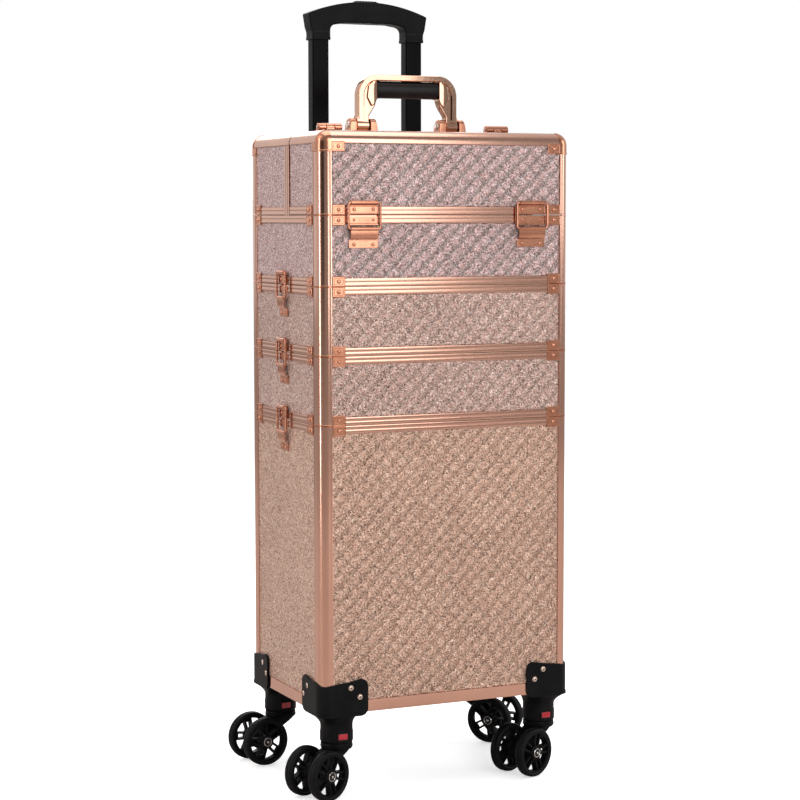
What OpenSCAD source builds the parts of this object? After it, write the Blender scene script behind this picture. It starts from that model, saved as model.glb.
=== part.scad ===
/* [Case] */
// Outside width of the case, left to right
case_w = 340; // [320:1:360]
// Outside depth of the case, front to back
case_d = 240; // [230:1:260]
// Height of the case's underside above the floor
ground_clear = 104; // [104:1:108]
// Height of the deep bottom section
base_h = 354; // [300:1:380]
// Height of each of the two middle tiers
tier_h = 84; // [80:1:110]
// Height of the open part of the top section
top_case_h = 86; // [80:1:110]
// Height of the lid and of the fixed hood behind it
lid_h = 102; // [90:1:120]
// Where the lid ends and the hood starts, from the middle
split_y = -20; // [-30:1:-20]
// Free gap between the lid and the hood
split_gap = 2; // [1.5:0.5:3]

/* [Aluminium profiles] */
// Radius of every outside edge of the case
edge_r = 15; // [12:1:15]
// Width of a corner post on the front and back
post_w = 15; // [15:1:18]
// Width of a corner post on the sides
post_d = 25; // [20:1:28]
// Height of the rails that meet at each seam
rail_h = 10; // [8:1:12]
// Depth of a rail, from outside to inside
rail_t = 7; // [6.5:0.5:9]
// Height of the rail along the underside
foot_rail_h = 15; // [12:1:18]

/* [Panels] */
// Thickness of the board panels
panel_t = 5; // [4:0.5:5.5]
// How far a panel lies below the face of the profiles
panel_inset = 1; // [0.5:0.25:1.5]
// Height of the loose dividers in the middle tiers
divider_h = 58; // [40:1:64]

/* [Latches] */
// Plate width of the two front latches
front_latch_w = 38; // [30:1:42]
// Plate width of the six side latches
side_latch_w = 25; // [22:1:30]
// Distance of the front latches from the middle
front_latch_x = 114; // [100:1:116]

/* [Carry handle] */
// Distance of the handle's arms from the middle
arm_x = 62; // [58:1:68]
// Height of the handle's top above the case
handle_rise = 75; // [65:1:85]

/* [Trolley] */
// Distance of the trolley tubes from the middle
tube_x = 67; // [60:1:72]
// Height of the trolley's grip above the floor, at rest
trolley_top = 992; // [960:1:1000]

/* [Casters] */
// Distance of the swivels from the middle, left and right
swivel_x = 141; // [138:1:143]
// Distance of the swivels from the middle, front and back
swivel_y = 95; // [92:1:97]
// Radius of the wheels
wheel_r = 31; // [29:0.5:31]
// Width of each wheel
wheel_w = 13; // [11:0.5:14]
// Distance between the two wheels of a caster
wheel_pitch = 41; // [39:0.5:44]
// Distance of the wheels' axle from the swivel
trail = 34; // [30:1:36]

/* [Hidden] */
$fn = 48;

metal = "#d9a088";
copper = "#d98a66";
glitter = "#bd9384";
black = "#1c1c1e";
red = "#c0182c";

// Heights of the seams, from the underside to the top
z_base = ground_clear;
z_low = z_base + base_h;
z_up = z_low + tier_h;
z_top = z_up + tier_h;
z_lid = z_top + top_case_h;
z_roof = z_lid + lid_h;
half_w = case_w / 2;
half_d = case_d / 2;
// Mitre gap that keeps neighbouring profiles apart
mitre = 0.1;
// Lift of each section off the one below
seam = 0.2;
// The corner caps take over from the posts this far below the roof
cap_h = 26;
// Size of the rounded bars along the roof's edges
bar = 16;

// Outline of a corner post: the rounded corner is at the origin
function corner_arc(r) = [for (a = [180 : 10 : 270]) [r + r * cos(a), r + r * sin(a)]];
module corner_section(w, d, r = edge_r) {
  polygon(concat(corner_arc(r), w > r ? [[w, 0]] : [], [[w, d]], d > r ? [[0, d]] : []));
}

// Puts a child that is drawn for the front left corner at any corner
module at_corner(sx, sy) {
  mirror([sx > 0 ? 1 : 0, 0, 0]) mirror([0, sy > 0 ? 1 : 0, 0])
    translate([-half_w, -half_d, 0]) children();
}

module post(sx, sy, z0, z1) {
  at_corner(sx, sy) translate([0, 0, z0]) linear_extrude(z1 - z0) corner_section(post_w, post_d);
}

// Rail along the front (sy = -1) or the back (sy = 1)
module rail_x(sy, z0, h) {
  l = case_w - 2 * post_w - 2 * mitre;
  translate([-l / 2, sy < 0 ? -half_d : half_d - rail_t, z0]) cube([l, rail_t, h]);
}

// Rail along one side, between two values of y
module rail_y(sx, z0, h, y0, y1) {
  translate([sx < 0 ? -half_w : half_w - rail_t, y0 + mitre, z0])
    cube([rail_t, y1 - y0 - 2 * mitre, h]);
}

// Four posts with a ring of rails at the bottom and at the top
module ring_frame(z0, z1, low_h, high_h) {
  for (sx = [-1, 1], sy = [-1, 1]) post(sx, sy, z0, z1);
  for (sy = [-1, 1]) {
    rail_x(sy, z0, low_h);
    rail_x(sy, z1 - high_h, high_h);
  }
  for (sx = [-1, 1]) {
    rail_y(sx, z0, low_h, post_d - half_d, half_d - post_d);
    rail_y(sx, z1 - high_h, high_h, post_d - half_d, half_d - post_d);
  }
}

// Board panels that fill the frame, and a floor between them
module wall_x(sy, z0, z1) {
  l = case_w - 2 * post_w - 2 * mitre;
  y = half_d - panel_inset - panel_t;
  translate([-l / 2, sy < 0 ? -y - panel_t : y, z0 + mitre]) cube([l, panel_t, z1 - z0 - 2 * mitre]);
}

module wall_y(sx, z0, z1, y0, y1) {
  x = half_w - panel_inset - panel_t;
  translate([sx < 0 ? -x - panel_t : x, y0 + mitre, z0 + mitre])
    cube([panel_t, y1 - y0 - 2 * mitre, z1 - z0 - 2 * mitre]);
}

module floor_board(z0) {
  w = case_w - 2 * rail_t - 2 * mitre;
  d = case_d - 2 * rail_t - 2 * mitre;
  difference() {
    translate([-w / 2, -d / 2, z0]) cube([w, d, panel_t]);
    for (sx = [-1, 1], sy = [-1, 1]) at_corner(sx, sy)
      translate([-1, -1, z0 - 1]) cube([post_w + 1 + mitre, post_d + 1 + mitre, panel_t + 2]);
  }
}

module ring_panels(z0, z1, low_h, high_h) {
  for (sy = [-1, 1]) wall_x(sy, z0 + low_h, z1 - high_h);
  for (sx = [-1, 1]) wall_y(sx, z0 + low_h, z1 - high_h, post_d - half_d, half_d - post_d);
  floor_board(z0 + 1);
}

// Rivet with a domed head, standing on the plane z = 0
module rivet(r = 2, h = 0.9) {
  rotate_extrude($fn = 24) polygon([[0, 0], [r, 0], [r, h * 0.4], [r * 0.6, h], [0, h]]);
}

// Small square plates on the faces beside one post, at one height
plate_w = 17;
plate_h = 12.5;
plate_t = 0.9;
module corner_plates(sx, sy, z0, on_front = true, on_side = true) {
  at_corner(sx, sy) {
    if (on_front) translate([post_w + mitre, -plate_t, z0]) {
      cube([plate_w, plate_t - 0.02, plate_h]);
      translate([plate_w / 2, 0.01, plate_h / 2]) rotate([90, 0, 0]) rivet();
    }
    if (on_side) translate([-plate_t, post_d + mitre, z0]) {
      cube([plate_t - 0.02, plate_w, plate_h]);
      translate([0.01, plate_w / 2, plate_h / 2]) rotate([0, -90, 0]) rivet();
    }
  }
}

module plate_ring(z0) {
  for (sx = [-1, 1], sy = [-1, 1]) corner_plates(sx, sy, z0);
}

// ---- Latches. Drawn for the front: x is the width, -y points outwards, z = 0 is the seam.
pivot_out = 4;
bail_z = 15.2;
lever_z = -16.5;
wire_r = 1.5;
wire_fit = 0.06;
knuckle_r = 2.5;
function bail_w(w) = w + 7;

module knuckle(w, z, r) {
  translate([-w / 2, -pivot_out, z]) rotate([0, 90, 0]) cylinder(r = r, h = w);
}
module knuckle_bore(w, z) {
  translate([-w / 2 - 1, -pivot_out, z]) rotate([0, 90, 0]) cylinder(r = wire_r + wire_fit, h = w + 2);
}

// Hook plate above the seam: it carries the wire bail
module latch_hook(w) {
  difference() {
    union() {
      translate([-w / 2, -1.5, 1]) cube([w, 1.48, 16]);
      translate([-w / 2 + 1, -3.4, 13.6]) cube([w - 2, 2.4, 3]);
      knuckle(w - 2, bail_z, knuckle_r);
    }
    knuckle_bore(w, bail_z);
  }
  for (s = [-1, 1]) translate([s * (w / 2 - 6.5), -1.49, 7]) rotate([90, 0, 0]) rivet();
}

// Catch plate under the seam, and the rivet plate at the latch's foot
module latch_catch(w, lip) {
  translate([-w / 2, -1.2, -10]) cube([w, 1.18, 9]);
  if (lip > 0) translate([-w / 2, -lip, -12.4]) cube([w, lip - 0.02, 2.4]);
  for (s = [-1, 1]) translate([s * (w / 2 - 6.5), -1.19, -5.5]) rotate([90, 0, 0]) rivet(1.8, 0.3);
  translate([-w / 2, -0.8, -39.5]) cube([w, 0.8 + panel_inset - 0.05, 10.2]);
  for (s = [-1, 1]) translate([s * (w / 2 - 6.5), -0.79, -34.5]) rotate([90, 0, 0]) rivet();
}

module bail(w) {
  b = bail_w(w);
  color(copper) {
    for (z = [bail_z, lever_z]) translate([-b / 2, -pivot_out, z])
      rotate([0, 90, 0]) cylinder(r = wire_r, h = b);
    for (s = [-1, 1]) translate([s * (b / 2 - wire_r), -pivot_out, lever_z - wire_r])
      cylinder(r = wire_r, h = bail_z - lever_z + 2 * wire_r);
  }
}

module lever(w) {
  color(copper) difference() {
    union() {
      knuckle(w - 2, lever_z, 2.4);
      translate([-w / 2 + 1, -4.6, -27.5]) cube([w - 2, 1.6, 11]);
      translate([-w / 2 + 1, -4.6, -28.5]) cube([w - 2, 3, 1.6]);
    }
    knuckle_bore(w, lever_z);
  }
}

// Places a latch: on the front, or turned onto a side
module on_front(s, z) {
  translate([s * front_latch_x, -half_d, z]) children();
}
module on_side(s, z) {
  translate([s * half_w, 0, z]) rotate([0, 0, s * 90]) children();
}
front_lip = 3.2;

// ---- Base
module base_panels() {
  color(glitter) ring_panels(z_base, z_low, foot_rail_h, rail_h);
}
module base_frame() {
  color(metal) ring_frame(z_base, z_low, foot_rail_h, rail_h);
}
module base_fittings() {
  color(copper) {
    plate_ring(z_low - plate_h);
    for (s = [-1, 1]) on_side(s, z_low) latch_catch(side_latch_w, 0);
  }
}

// Caster socket: a shell round the case's corner over a round socket
wrap = 60;
wrap_h = 42;
wrap_t = 2.5;
socket_r = 20;
socket_low = 66;
stem_r = 5;
stem_fit = 0.06;
stem_top = z_base - 10;
button_w = 12;
button_h = 7;
button_z = 71;
button_out = 1.4;
function corners() = [["fl", -1, -1], ["fr", 1, -1], ["rl", -1, 1], ["rr", 1, 1]];

// Outline of one wing of the shell, with round outer corners
module wing(l, h, r) {
  linear_extrude(wrap_t) polygon(concat(
    [[0, -4], [l - r, -4]], [for (a = [-80 : 10 : 0]) [l - r + r * cos(a), -4 + r + r * sin(a)]],
    [for (a = [0 : 10 : 90]) [l - r + r * cos(a), h - r + r * sin(a)]], [[l * 0.35, h - 5], [0, h - 7]]));
}

module socket(sx, sy) {
  difference() {
    union() {
      at_corner(sx, sy) {
        translate([0, -0.05, z_base]) rotate([90, 0, 0]) wing(wrap, wrap_h, 9);
        translate([-wrap_t - 0.05, 0, z_base]) rotate([90, 0, 90]) wing(wrap, wrap_h, 9);
        translate([-wrap_t - 0.05, -wrap_t - 0.05, z_base - 4]) cube([wrap - 6, wrap - 6, 3.9]);
      }
      translate([sx * swivel_x, sy * swivel_y, socket_low]) cylinder(r = socket_r, h = z_base - 4 - socket_low);
      translate([sx * swivel_x, sy * swivel_y, z_base - 18]) cylinder(r1 = socket_r, r2 = 27, h = 14.5);
    }
    // the case's rounded corner
    at_corner(sx, sy) translate([0, 0, z_base - 0.05]) linear_extrude(wrap_h + 10)
      corner_section(wrap + 10, wrap + 10);
    translate([sx * swivel_x, sy * swivel_y, socket_low - 1])
      cylinder(r = stem_r + stem_fit, h = stem_top - socket_low + 2);
    // pocket of the release button
    translate([sx * swivel_x - button_w / 2 - 0.4, sy * swivel_y - socket_r - 1, button_z - 0.4])
      cube([button_w + 0.8, 10, button_h + 0.8]);
  }
}
module caster_sockets() {
  color(black) for (c = corners()) socket(c[1], c[2]);
}

module socket_screws() {
  color(copper) for (c = corners()) at_corner(c[1], c[2]) {
    for (p = [[37, 32], [49, 20]]) {
      translate([p[0], -wrap_t - 0.06, z_base + p[1]]) rotate([90, 0, 0]) rivet(2.8, 1.2);
      translate([-wrap_t - 0.06, p[0] + 6, z_base + p[1] - 2]) rotate([0, -90, 0]) rivet(2.8, 1.2);
    }
  }
}

module release_button(k) {
  c = corners()[k];
  color(red) translate([c[1] * swivel_x - button_w / 2, c[2] * swivel_y - socket_r - button_out, button_z])
    cube([button_w, 6.5, button_h]);
}

// ---- Trolley, behind the case
tube_y = half_d + 14;
tube_w = 23;
tube_d = 18;
tube_gap = 0.4;
tube_wall = 2;
outer_low = z_base + 4;
outer_high = z_low - 8;
inner_low = 330;
collar_z = trolley_top - 51;

module box_tube(w, d, t, z0, z1) {
  difference() {
    translate([-w / 2, -d / 2, z0]) cube([w, d, z1 - z0]);
    translate([-w / 2 + t, -d / 2 + t, z0 - 1]) cube([w - 2 * t, d - 2 * t, z1 - z0 + 2]);
  }
}
module trolley_outer_tubes() {
  g = 2 * (tube_gap + tube_wall);
  color(black) for (s = [-1, 1]) translate([s * tube_x, tube_y, 0])
    box_tube(tube_w + g, tube_d + g, tube_wall, outer_low, outer_high);
}
module trolley_clamps() {
  w = tube_w + 2 * (tube_gap + tube_wall) + 0.1;
  d = tube_d + 2 * (tube_gap + tube_wall) + 0.1;
  color(black) for (s = [-1, 1], z = [z_base + 22, z_low - 40]) difference() {
    translate([s * tube_x - w / 2 - 4, half_d - panel_inset + 0.05, z])
      cube([w + 8, tube_y - half_d + panel_inset + d / 2 + 2.5, 20]);
    translate([s * tube_x - w / 2, tube_y - d / 2, z - 1]) cube([w, d, 22]);
  }
}
module trolley_inner_tubes() {
  color(black) for (s = [-1, 1]) translate([s * tube_x, tube_y, 0])
    box_tube(tube_w, tube_d, 1.4, inner_low, collar_z + 14);
}

grip_half = 85;
grip_d = 24;
arch_rise = 17;
arch_r = (pow(grip_half, 2) + pow(arch_rise, 2)) / (2 * arch_rise);
arch_a = asin(grip_half / arch_r);
pocket_w = 32;
pocket_d = 12;
pocket_h = 16;
module trolley_grip() {
  top = [for (k = [-8 : 8]) let (a = k * arch_a / 8)
    [arch_r * sin(a), trolley_top - arch_r + arch_r * cos(a)]];
  collar_out = tube_x + tube_w / 2 + 2;
  collar_in = tube_x - tube_w / 2 - 2;
  color(black) difference() {
    translate([0, tube_y + grip_d / 2, 0]) rotate([90, 0, 0]) linear_extrude(grip_d)
      polygon(concat(top, [[collar_out, collar_z], [collar_in, collar_z], [collar_in, collar_z + 14],
        [collar_in - 6, collar_z + 20], [-collar_in + 6, collar_z + 20], [-collar_in, collar_z + 14],
        [-collar_in, collar_z], [-collar_out, collar_z]]));
    for (s = [-1, 1]) translate([s * tube_x - tube_w / 2 - 0.1, tube_y - tube_d / 2 - 0.1, collar_z - 1])
      cube([tube_w + 0.2, tube_d + 0.2, 15.2]);
    translate([-pocket_w / 2, tube_y - pocket_d / 2, trolley_top - pocket_h])
      cube([pocket_w, pocket_d, pocket_h + 1]);
  }
}
module trolley_button() {
  color(black) translate([-pocket_w / 2 + 0.6, tube_y - pocket_d / 2 + 0.6, trolley_top - 10.8])
    cube([pocket_w - 1.2, pocket_d - 1.2, 10]);
}

// ---- Middle tiers
module dividers(z0) {
  l = case_d - 2 * rail_t - 4;
  color(black) for (s = [-1, 1]) translate([s * 54 - 1.5, -l / 2, z0 + 1 + panel_t]) cube([3, l, divider_h]);
}
module tier_fittings(z0, z1) {
  color(copper) {
    plate_ring(z0);
    plate_ring(z1 - plate_h);
    for (s = [-1, 1]) {
      on_side(s, z0 - seam) latch_hook(side_latch_w);
      on_side(s, z1) latch_catch(side_latch_w, 0);
    }
  }
}
module lower_tier_panels() { color(glitter) ring_panels(z_low + seam, z_up, rail_h, rail_h); }
module lower_tier_frame() { color(metal) ring_frame(z_low + seam, z_up, rail_h, rail_h); }
module lower_tier_fittings() { tier_fittings(z_low + seam, z_up); }
module lower_tier_dividers() { dividers(z_low + seam); }
module upper_tier_panels() { color(glitter) ring_panels(z_up + seam, z_top, rail_h, rail_h); }
module upper_tier_frame() { color(metal) ring_frame(z_up + seam, z_top, rail_h, rail_h); }
module upper_tier_fittings() { tier_fittings(z_up + seam, z_top); }
module upper_tier_dividers() { dividers(z_up + seam); }

// ---- Top section: an open case with a fixed hood over its back half
hood_y0 = split_y + split_gap / 2;
lid_y1 = split_y - split_gap / 2;
hood_post = 15;
roof_t = 6;

// Rounded edge bar along x, at the roof
module roof_bar_x(sy) {
  l = case_w - 2 * post_w - 2 * mitre;
  mirror([0, sy > 0 ? 1 : 0, 0]) translate([-l / 2, -half_d, z_roof]) rotate([90, 0, 90])
    linear_extrude(l) mirror([0, 1]) corner_section(bar, bar);
}
// Rounded edge bar along y, at the roof
module roof_bar_y(sx, y0, y1) {
  mirror([sx > 0 ? 1 : 0, 0, 0]) translate([-half_w, y1 - mitre, z_roof]) rotate([90, 0, 0])
    linear_extrude(y1 - y0 - 2 * mitre) mirror([0, 1]) corner_section(bar, bar);
}
module roof_panel(y0, y1) {
  w = case_w - 2 * bar - 2 * mitre;
  translate([-w / 2, y0 + mitre, z_roof - panel_inset - panel_t]) cube([w, y1 - y0 - 2 * mitre, panel_t]);
}

module top_case_panels() {
  color(glitter) {
    ring_panels(z_top + seam, z_lid, rail_h, rail_h);
    wall_x(1, z_lid + rail_h, z_roof - bar);
    for (sx = [-1, 1]) wall_y(sx, z_lid + rail_h, z_roof - bar, hood_y0 + hood_post, half_d - post_d);
    roof_panel(hood_y0 + hood_post, half_d - bar);
  }
}
module top_case_frame() {
  color(metal) {
    ring_frame(z_top + seam, z_lid, rail_h, rail_h);
    for (sx = [-1, 1]) {
      post(sx, 1, z_lid + mitre, z_roof - cap_h - mitre);
      rail_y(sx, z_lid + mitre, rail_h, hood_y0 + hood_post, half_d - post_d);
      rail_y(sx, z_lid + mitre, z_roof - bar - z_lid - 2 * mitre, hood_y0 - mitre, hood_y0 + hood_post);
      roof_bar_y(sx, hood_y0 - mitre, half_d - bar);
    }
    rail_x(1, z_lid + mitre, rail_h);
    roof_bar_x(1);
    translate([-half_w + bar + mitre, hood_y0, z_roof - roof_t])
      cube([case_w - 2 * bar - 2 * mitre, hood_post, roof_t]);
  }
}

// Rounded cap over one top corner of the case
module corner_cap(sx, sy) {
  r = edge_r + 0.6;
  at_corner(sx, sy) {
    intersection() {
      translate([edge_r, edge_r, 0]) union() {
        translate([0, 0, z_roof - cap_h]) cylinder(r = r, h = cap_h - edge_r);
        translate([0, 0, z_roof - edge_r]) sphere(r = r);
      }
      translate([-1, -1, z_roof - cap_h]) cube([post_w + 1 - mitre, edge_r + 1 - mitre, cap_h + 1]);
    }
    // its flange on the side, between the post and the edge bar
    translate([-0.6, edge_r - 1, z_roof - cap_h])
      cube([rail_t, post_d - edge_r + 1, cap_h - bar - mitre]);
  }
}

module top_case_fittings() {
  color(copper) {
    plate_ring(z_top + seam);
    plate_ring(z_lid - plate_h);
    for (sx = [-1, 1]) {
      corner_plates(sx, 1, z_lid + 0.5);
      corner_cap(sx, 1);
      on_side(sx, z_top) latch_hook(side_latch_w);
      on_front(sx, z_lid) latch_catch(front_latch_w, front_lip);
    }
  }
}

// ---- Lid hinges on the roof
hinge_x = 116;
hinge_w = 32;
hinge_z = z_roof + 7;
hinge_r = 5;
pin_r = 2;
pin_fit = 0.06;
leaf_t = 1.9;
third = hinge_w / 3;
module barrel(x0, w, r) {
  translate([x0, split_y, hinge_z]) rotate([0, 90, 0]) cylinder(r = r, h = w);
}
// Hood leaves with their two outer knuckles, and the pins
module hood_hinge_leaves() {
  color(copper) for (s = [-1, 1]) {
    x0 = s * hinge_x - hinge_w / 2;
    difference() {
      union() {
        for (k = [0, 2]) {
          barrel(x0 + k * third + 0.2, third - 0.4, hinge_r);
          translate([x0 + k * third + 0.2, split_y, z_roof + 0.05]) cube([third - 0.4, 9, leaf_t]);
          translate([x0 + k * third + 0.2, split_y + 1.5, z_roof + 0.05]) cube([third - 0.4, 3, 6]);
        }
        translate([x0, split_y + 7.5, z_roof + 0.05]) cube([hinge_w, 12, leaf_t]);
      }
      barrel(x0 - 1, hinge_w + 2, pin_r);
    }
    barrel(x0 - 0.8, hinge_w + 1.6, pin_r);
    for (k = [-1, 1]) translate([s * hinge_x + k * 10, split_y + 14.5, z_roof + leaf_t]) rivet();
  }
}
// Lid leaves with their middle knuckle
module lid_hinge_leaves() {
  for (s = [-1, 1]) {
    x0 = s * hinge_x - hinge_w / 2;
    difference() {
      union() {
        barrel(x0 + third + 0.2, third - 0.4, hinge_r);
        translate([x0 + third + 0.2, split_y - 9, z_roof + 0.05]) cube([third - 0.4, 9, leaf_t]);
        translate([x0 + third + 0.2, split_y - 4.5, z_roof + 0.05]) cube([third - 0.4, 3, 6]);
        translate([x0, split_y - 19.5, z_roof + 0.05]) cube([hinge_w, 12, leaf_t]);
      }
      barrel(x0 - 1, hinge_w + 2, pin_r + pin_fit);
    }
    for (k = [-1, 1]) translate([s * hinge_x + k * 10, split_y - 14.5, z_roof + leaf_t]) rivet();
  }
}

// ---- Lid
z_lid_low = z_lid + 0.4;
module lid_panels() {
  color(glitter) {
    wall_x(-1, z_lid_low + rail_h, z_roof - bar);
    for (sx = [-1, 1]) wall_y(sx, z_lid_low + rail_h, z_roof - bar, post_d - half_d, lid_y1 + mitre);
    roof_panel(bar - half_d, lid_y1 + mitre);
  }
}
module lid_frame() {
  color(metal) {
    for (sx = [-1, 1]) {
      post(sx, -1, z_lid_low, z_roof - cap_h - mitre);
      rail_y(sx, z_lid_low, rail_h, post_d - half_d, lid_y1 + mitre);
      roof_bar_y(sx, bar - half_d, lid_y1 + mitre);
    }
    rail_x(-1, z_lid_low, rail_h);
    roof_bar_x(-1);
  }
}
module lid_fittings() {
  color(copper) {
    for (sx = [-1, 1]) {
      corner_plates(sx, -1, z_lid_low);
      corner_plates(sx, -1, z_roof - cap_h, true, false);
      corner_cap(sx, -1);
      on_front(sx, z_lid) latch_hook(front_latch_w);
    }
    lid_hinge_leaves();
  }
}

// ---- Carry handle, hinged in two brackets on the hood
pivot_y = 5;
pivot_z = z_roof + 11;
pivot_r = 4;
cheek_in = 9.5;
cheek_out = 19.5;
cheek_r = 9;
arm_w = 17;
arm_d = 12;
boss_r = 8;
bow_out = arm_x + 6.5;
bow_r = 26;
strip_t = 8;
strip_d = 16;
grip_rz = 10.8;
grip_ry = 9.5;
grip_end = 43;
grip_z = z_roof + handle_rise - strip_t - 0.1 - grip_rz;

// A rod along x that is centred over the pivot
module pivot_rod(half_l, r) {
  translate([-half_l, pivot_y, pivot_z]) rotate([0, 90, 0]) cylinder(r = r, h = 2 * half_l);
}

module handle_brackets() {
  color(copper) for (s = [-1, 1]) translate([s * arm_x, 0, 0]) {
    difference() {
      union() {
        translate([-cheek_out, pivot_y - cheek_r, z_roof - panel_inset + 0.05])
          cube([2 * cheek_out, 2 * cheek_r, 2.5]);
        for (k = [-1, 1]) intersection() {
          // sloped outside
          translate([0, pivot_y + 10, z_roof]) rotate([90, 0, 0]) linear_extrude(20)
            polygon([[k * cheek_in, 0], [k * cheek_out, 0], [k * (cheek_out - 1), 13],
              [k * (cheek_out - 3), 21], [k * cheek_in, 21]]);
          // round top
          union() {
            translate([-cheek_out, pivot_y - cheek_r, z_roof]) cube([2 * cheek_out, 2 * cheek_r, 11]);
            pivot_rod(cheek_out, cheek_r);
          }
        }
      }
      pivot_rod(cheek_out + 1, pivot_r);
    }
    pivot_rod(cheek_out - 1, pivot_r);
  }
}

// Half of the outline of the bow
function bow(r, x, z) = [for (a = [0 : 10 : 90]) [x - r + r * cos(a), z - r + r * sin(a)]];
module carry_handle_arch() {
  top = z_roof + handle_rise;
  inner = bow_out - strip_t;
  low = pivot_z + boss_r;
  right = concat([[bow_out, low]], bow(bow_r, bow_out, top));
  in_right = concat([[inner, low]], bow(bow_r - strip_t, inner, top - strip_t));
  half = concat(right, [for (k = [len(in_right) - 1 : -1 : 0]) in_right[k]]);
  // the cast web that carries the grip's end
  mid = bow_r * (1 - cos(45)) + strip_t / 2;
  web = [[arm_x - arm_w / 2, pivot_z], [arm_x + arm_w / 2, pivot_z], [arm_x + arm_w / 2, low + 2],
    [bow_out - strip_t / 2, low + 8], [bow_out - strip_t / 2, top - bow_r], [bow_out - mid, top - mid],
    [grip_end + 4, top - strip_t / 2], [grip_end + 0.1, top - strip_t / 2],
    [grip_end + 0.1, grip_z - grip_rz], [grip_end + 2, grip_z - grip_rz - 9], [arm_x - arm_w / 2, low + 4]];
  color(copper) difference() {
    for (s = [0, 1]) mirror([s, 0, 0]) {
      translate([0, pivot_y + strip_d / 2, 0]) rotate([90, 0, 0]) linear_extrude(strip_d) polygon(half);
      translate([-0.01, pivot_y - strip_d / 2, top - strip_t])
        cube([bow_out - bow_r + 0.02, strip_d, strip_t]);
      translate([0, pivot_y + arm_d / 2, 0]) rotate([90, 0, 0]) linear_extrude(arm_d) polygon(web);
      translate([arm_x, 0, 0]) pivot_rod(arm_w / 2, boss_r);
    }
    for (s = [-1, 1]) translate([s * arm_x, 0, 0]) pivot_rod(arm_w, pivot_r + 0.06);
  }
}
module carry_handle_grip() {
  color(black) translate([-grip_end, pivot_y, grip_z]) rotate([0, 90, 0])
    linear_extrude(2 * grip_end) polygon([for (a = [0 : 15 : 345]) [grip_rz * cos(a), grip_ry * sin(a)]]);
}

// ---- Casters: angle of each caster's trail, from +x
trail_a = [202, 202, 188, -50];
axle_r = 4;
axle_fit = 0.06;
// Underside of the disc that turns under the socket, above the tops of the wheels
disc_z = 57;
module at_swivel(k) {
  c = corners()[k];
  translate([c[1] * swivel_x, c[2] * swivel_y, 0]) rotate([0, 0, trail_a[k]]) children();
}
module caster_fork(k) {
  boss_w = wheel_pitch - wheel_w - 3;
  color(black) at_swivel(k) {
    translate([0, 0, disc_z]) cylinder(r = socket_r, h = socket_low - 0.6 - disc_z);
    translate([0, 0, disc_z]) cylinder(r = stem_r, h = stem_top - 1 - disc_z);
    translate([-2, -boss_w / 2, 40]) cube([trail + 2, boss_w, disc_z - 38]);
    translate([trail, boss_w / 2, wheel_r]) rotate([90, 0, 0]) cylinder(r = 13, h = boss_w);
    translate([trail, (wheel_pitch + wheel_w) / 2 + 1, wheel_r]) rotate([90, 0, 0])
      cylinder(r = axle_r, h = wheel_pitch + wheel_w + 2);
  }
}
// Wheel with five pairs of spokes
module wheel(k, s) {
  rim_r = wheel_r - 7;
  color(black) at_swivel(k) translate([trail, s * wheel_pitch / 2 + wheel_w / 2, wheel_r]) rotate([90, 0, 0])
    difference() {
      union() {
        difference() {
          cylinder(r = wheel_r, h = wheel_w, $fn = 72);
          translate([0, 0, -1]) cylinder(r = rim_r, h = wheel_w + 2);
        }
        translate([0, 0, 0.5]) cylinder(r = 9, h = wheel_w - 1);
        for (a = [0 : 72 : 288], t = [-1, 1]) rotate([0, 0, a]) translate([5, t * 4 - 1.2, 3])
          cube([rim_r - 4, 2.4, wheel_w - 6]);
      }
      translate([0, 0, -1]) cylinder(r = axle_r + axle_fit, h = wheel_w + 2);
    }
}

base_panels();
base_frame();
base_fittings();
caster_sockets();
socket_screws();
trolley_outer_tubes();
trolley_clamps();
release_button(0);  // release_button_fl
release_button(1);  // release_button_fr
release_button(2);  // release_button_rl
release_button(3);  // release_button_rr
lower_tier_panels();
lower_tier_frame();
lower_tier_fittings();
lower_tier_dividers();
upper_tier_panels();
upper_tier_frame();
upper_tier_fittings();
upper_tier_dividers();
top_case_panels();
top_case_frame();
top_case_fittings();
hood_hinge_leaves();
handle_brackets();
lid_panels();
lid_frame();
lid_fittings();
carry_handle_arch();
carry_handle_grip();
trolley_inner_tubes();
trolley_grip();
trolley_button();
caster_fork(0);  // caster_fork_fl
caster_fork(1);  // caster_fork_fr
caster_fork(2);  // caster_fork_rl
caster_fork(3);  // caster_fork_rr
wheel(0, 1);  // wheel_fl_inner
wheel(0, -1);  // wheel_fl_outer
wheel(1, 1);  // wheel_fr_inner
wheel(1, -1);  // wheel_fr_outer
wheel(2, 1);  // wheel_rl_inner
wheel(2, -1);  // wheel_rl_outer
wheel(3, 1);  // wheel_rr_inner
wheel(3, -1);  // wheel_rr_outer
on_front(-1, z_lid) bail(front_latch_w);  // bail_front_left
on_front(1, z_lid) bail(front_latch_w);  // bail_front_right
on_side(-1, z_low) bail(side_latch_w);  // bail_left_low
on_side(-1, z_up) bail(side_latch_w);  // bail_left_mid
on_side(-1, z_top) bail(side_latch_w);  // bail_left_top
on_side(1, z_low) bail(side_latch_w);  // bail_right_low
on_side(1, z_up) bail(side_latch_w);  // bail_right_mid
on_side(1, z_top) bail(side_latch_w);  // bail_right_top
on_front(-1, z_lid) lever(front_latch_w);  // lever_front_left
on_front(1, z_lid) lever(front_latch_w);  // lever_front_right
on_side(-1, z_low) lever(side_latch_w);  // lever_left_low
on_side(-1, z_up) lever(side_latch_w);  // lever_left_mid
on_side(-1, z_top) lever(side_latch_w);  // lever_left_top
on_side(1, z_low) lever(side_latch_w);  // lever_right_low
on_side(1, z_up) lever(side_latch_w);  // lever_right_mid
on_side(1, z_top) lever(side_latch_w);  // lever_right_top
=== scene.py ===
import math

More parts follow.
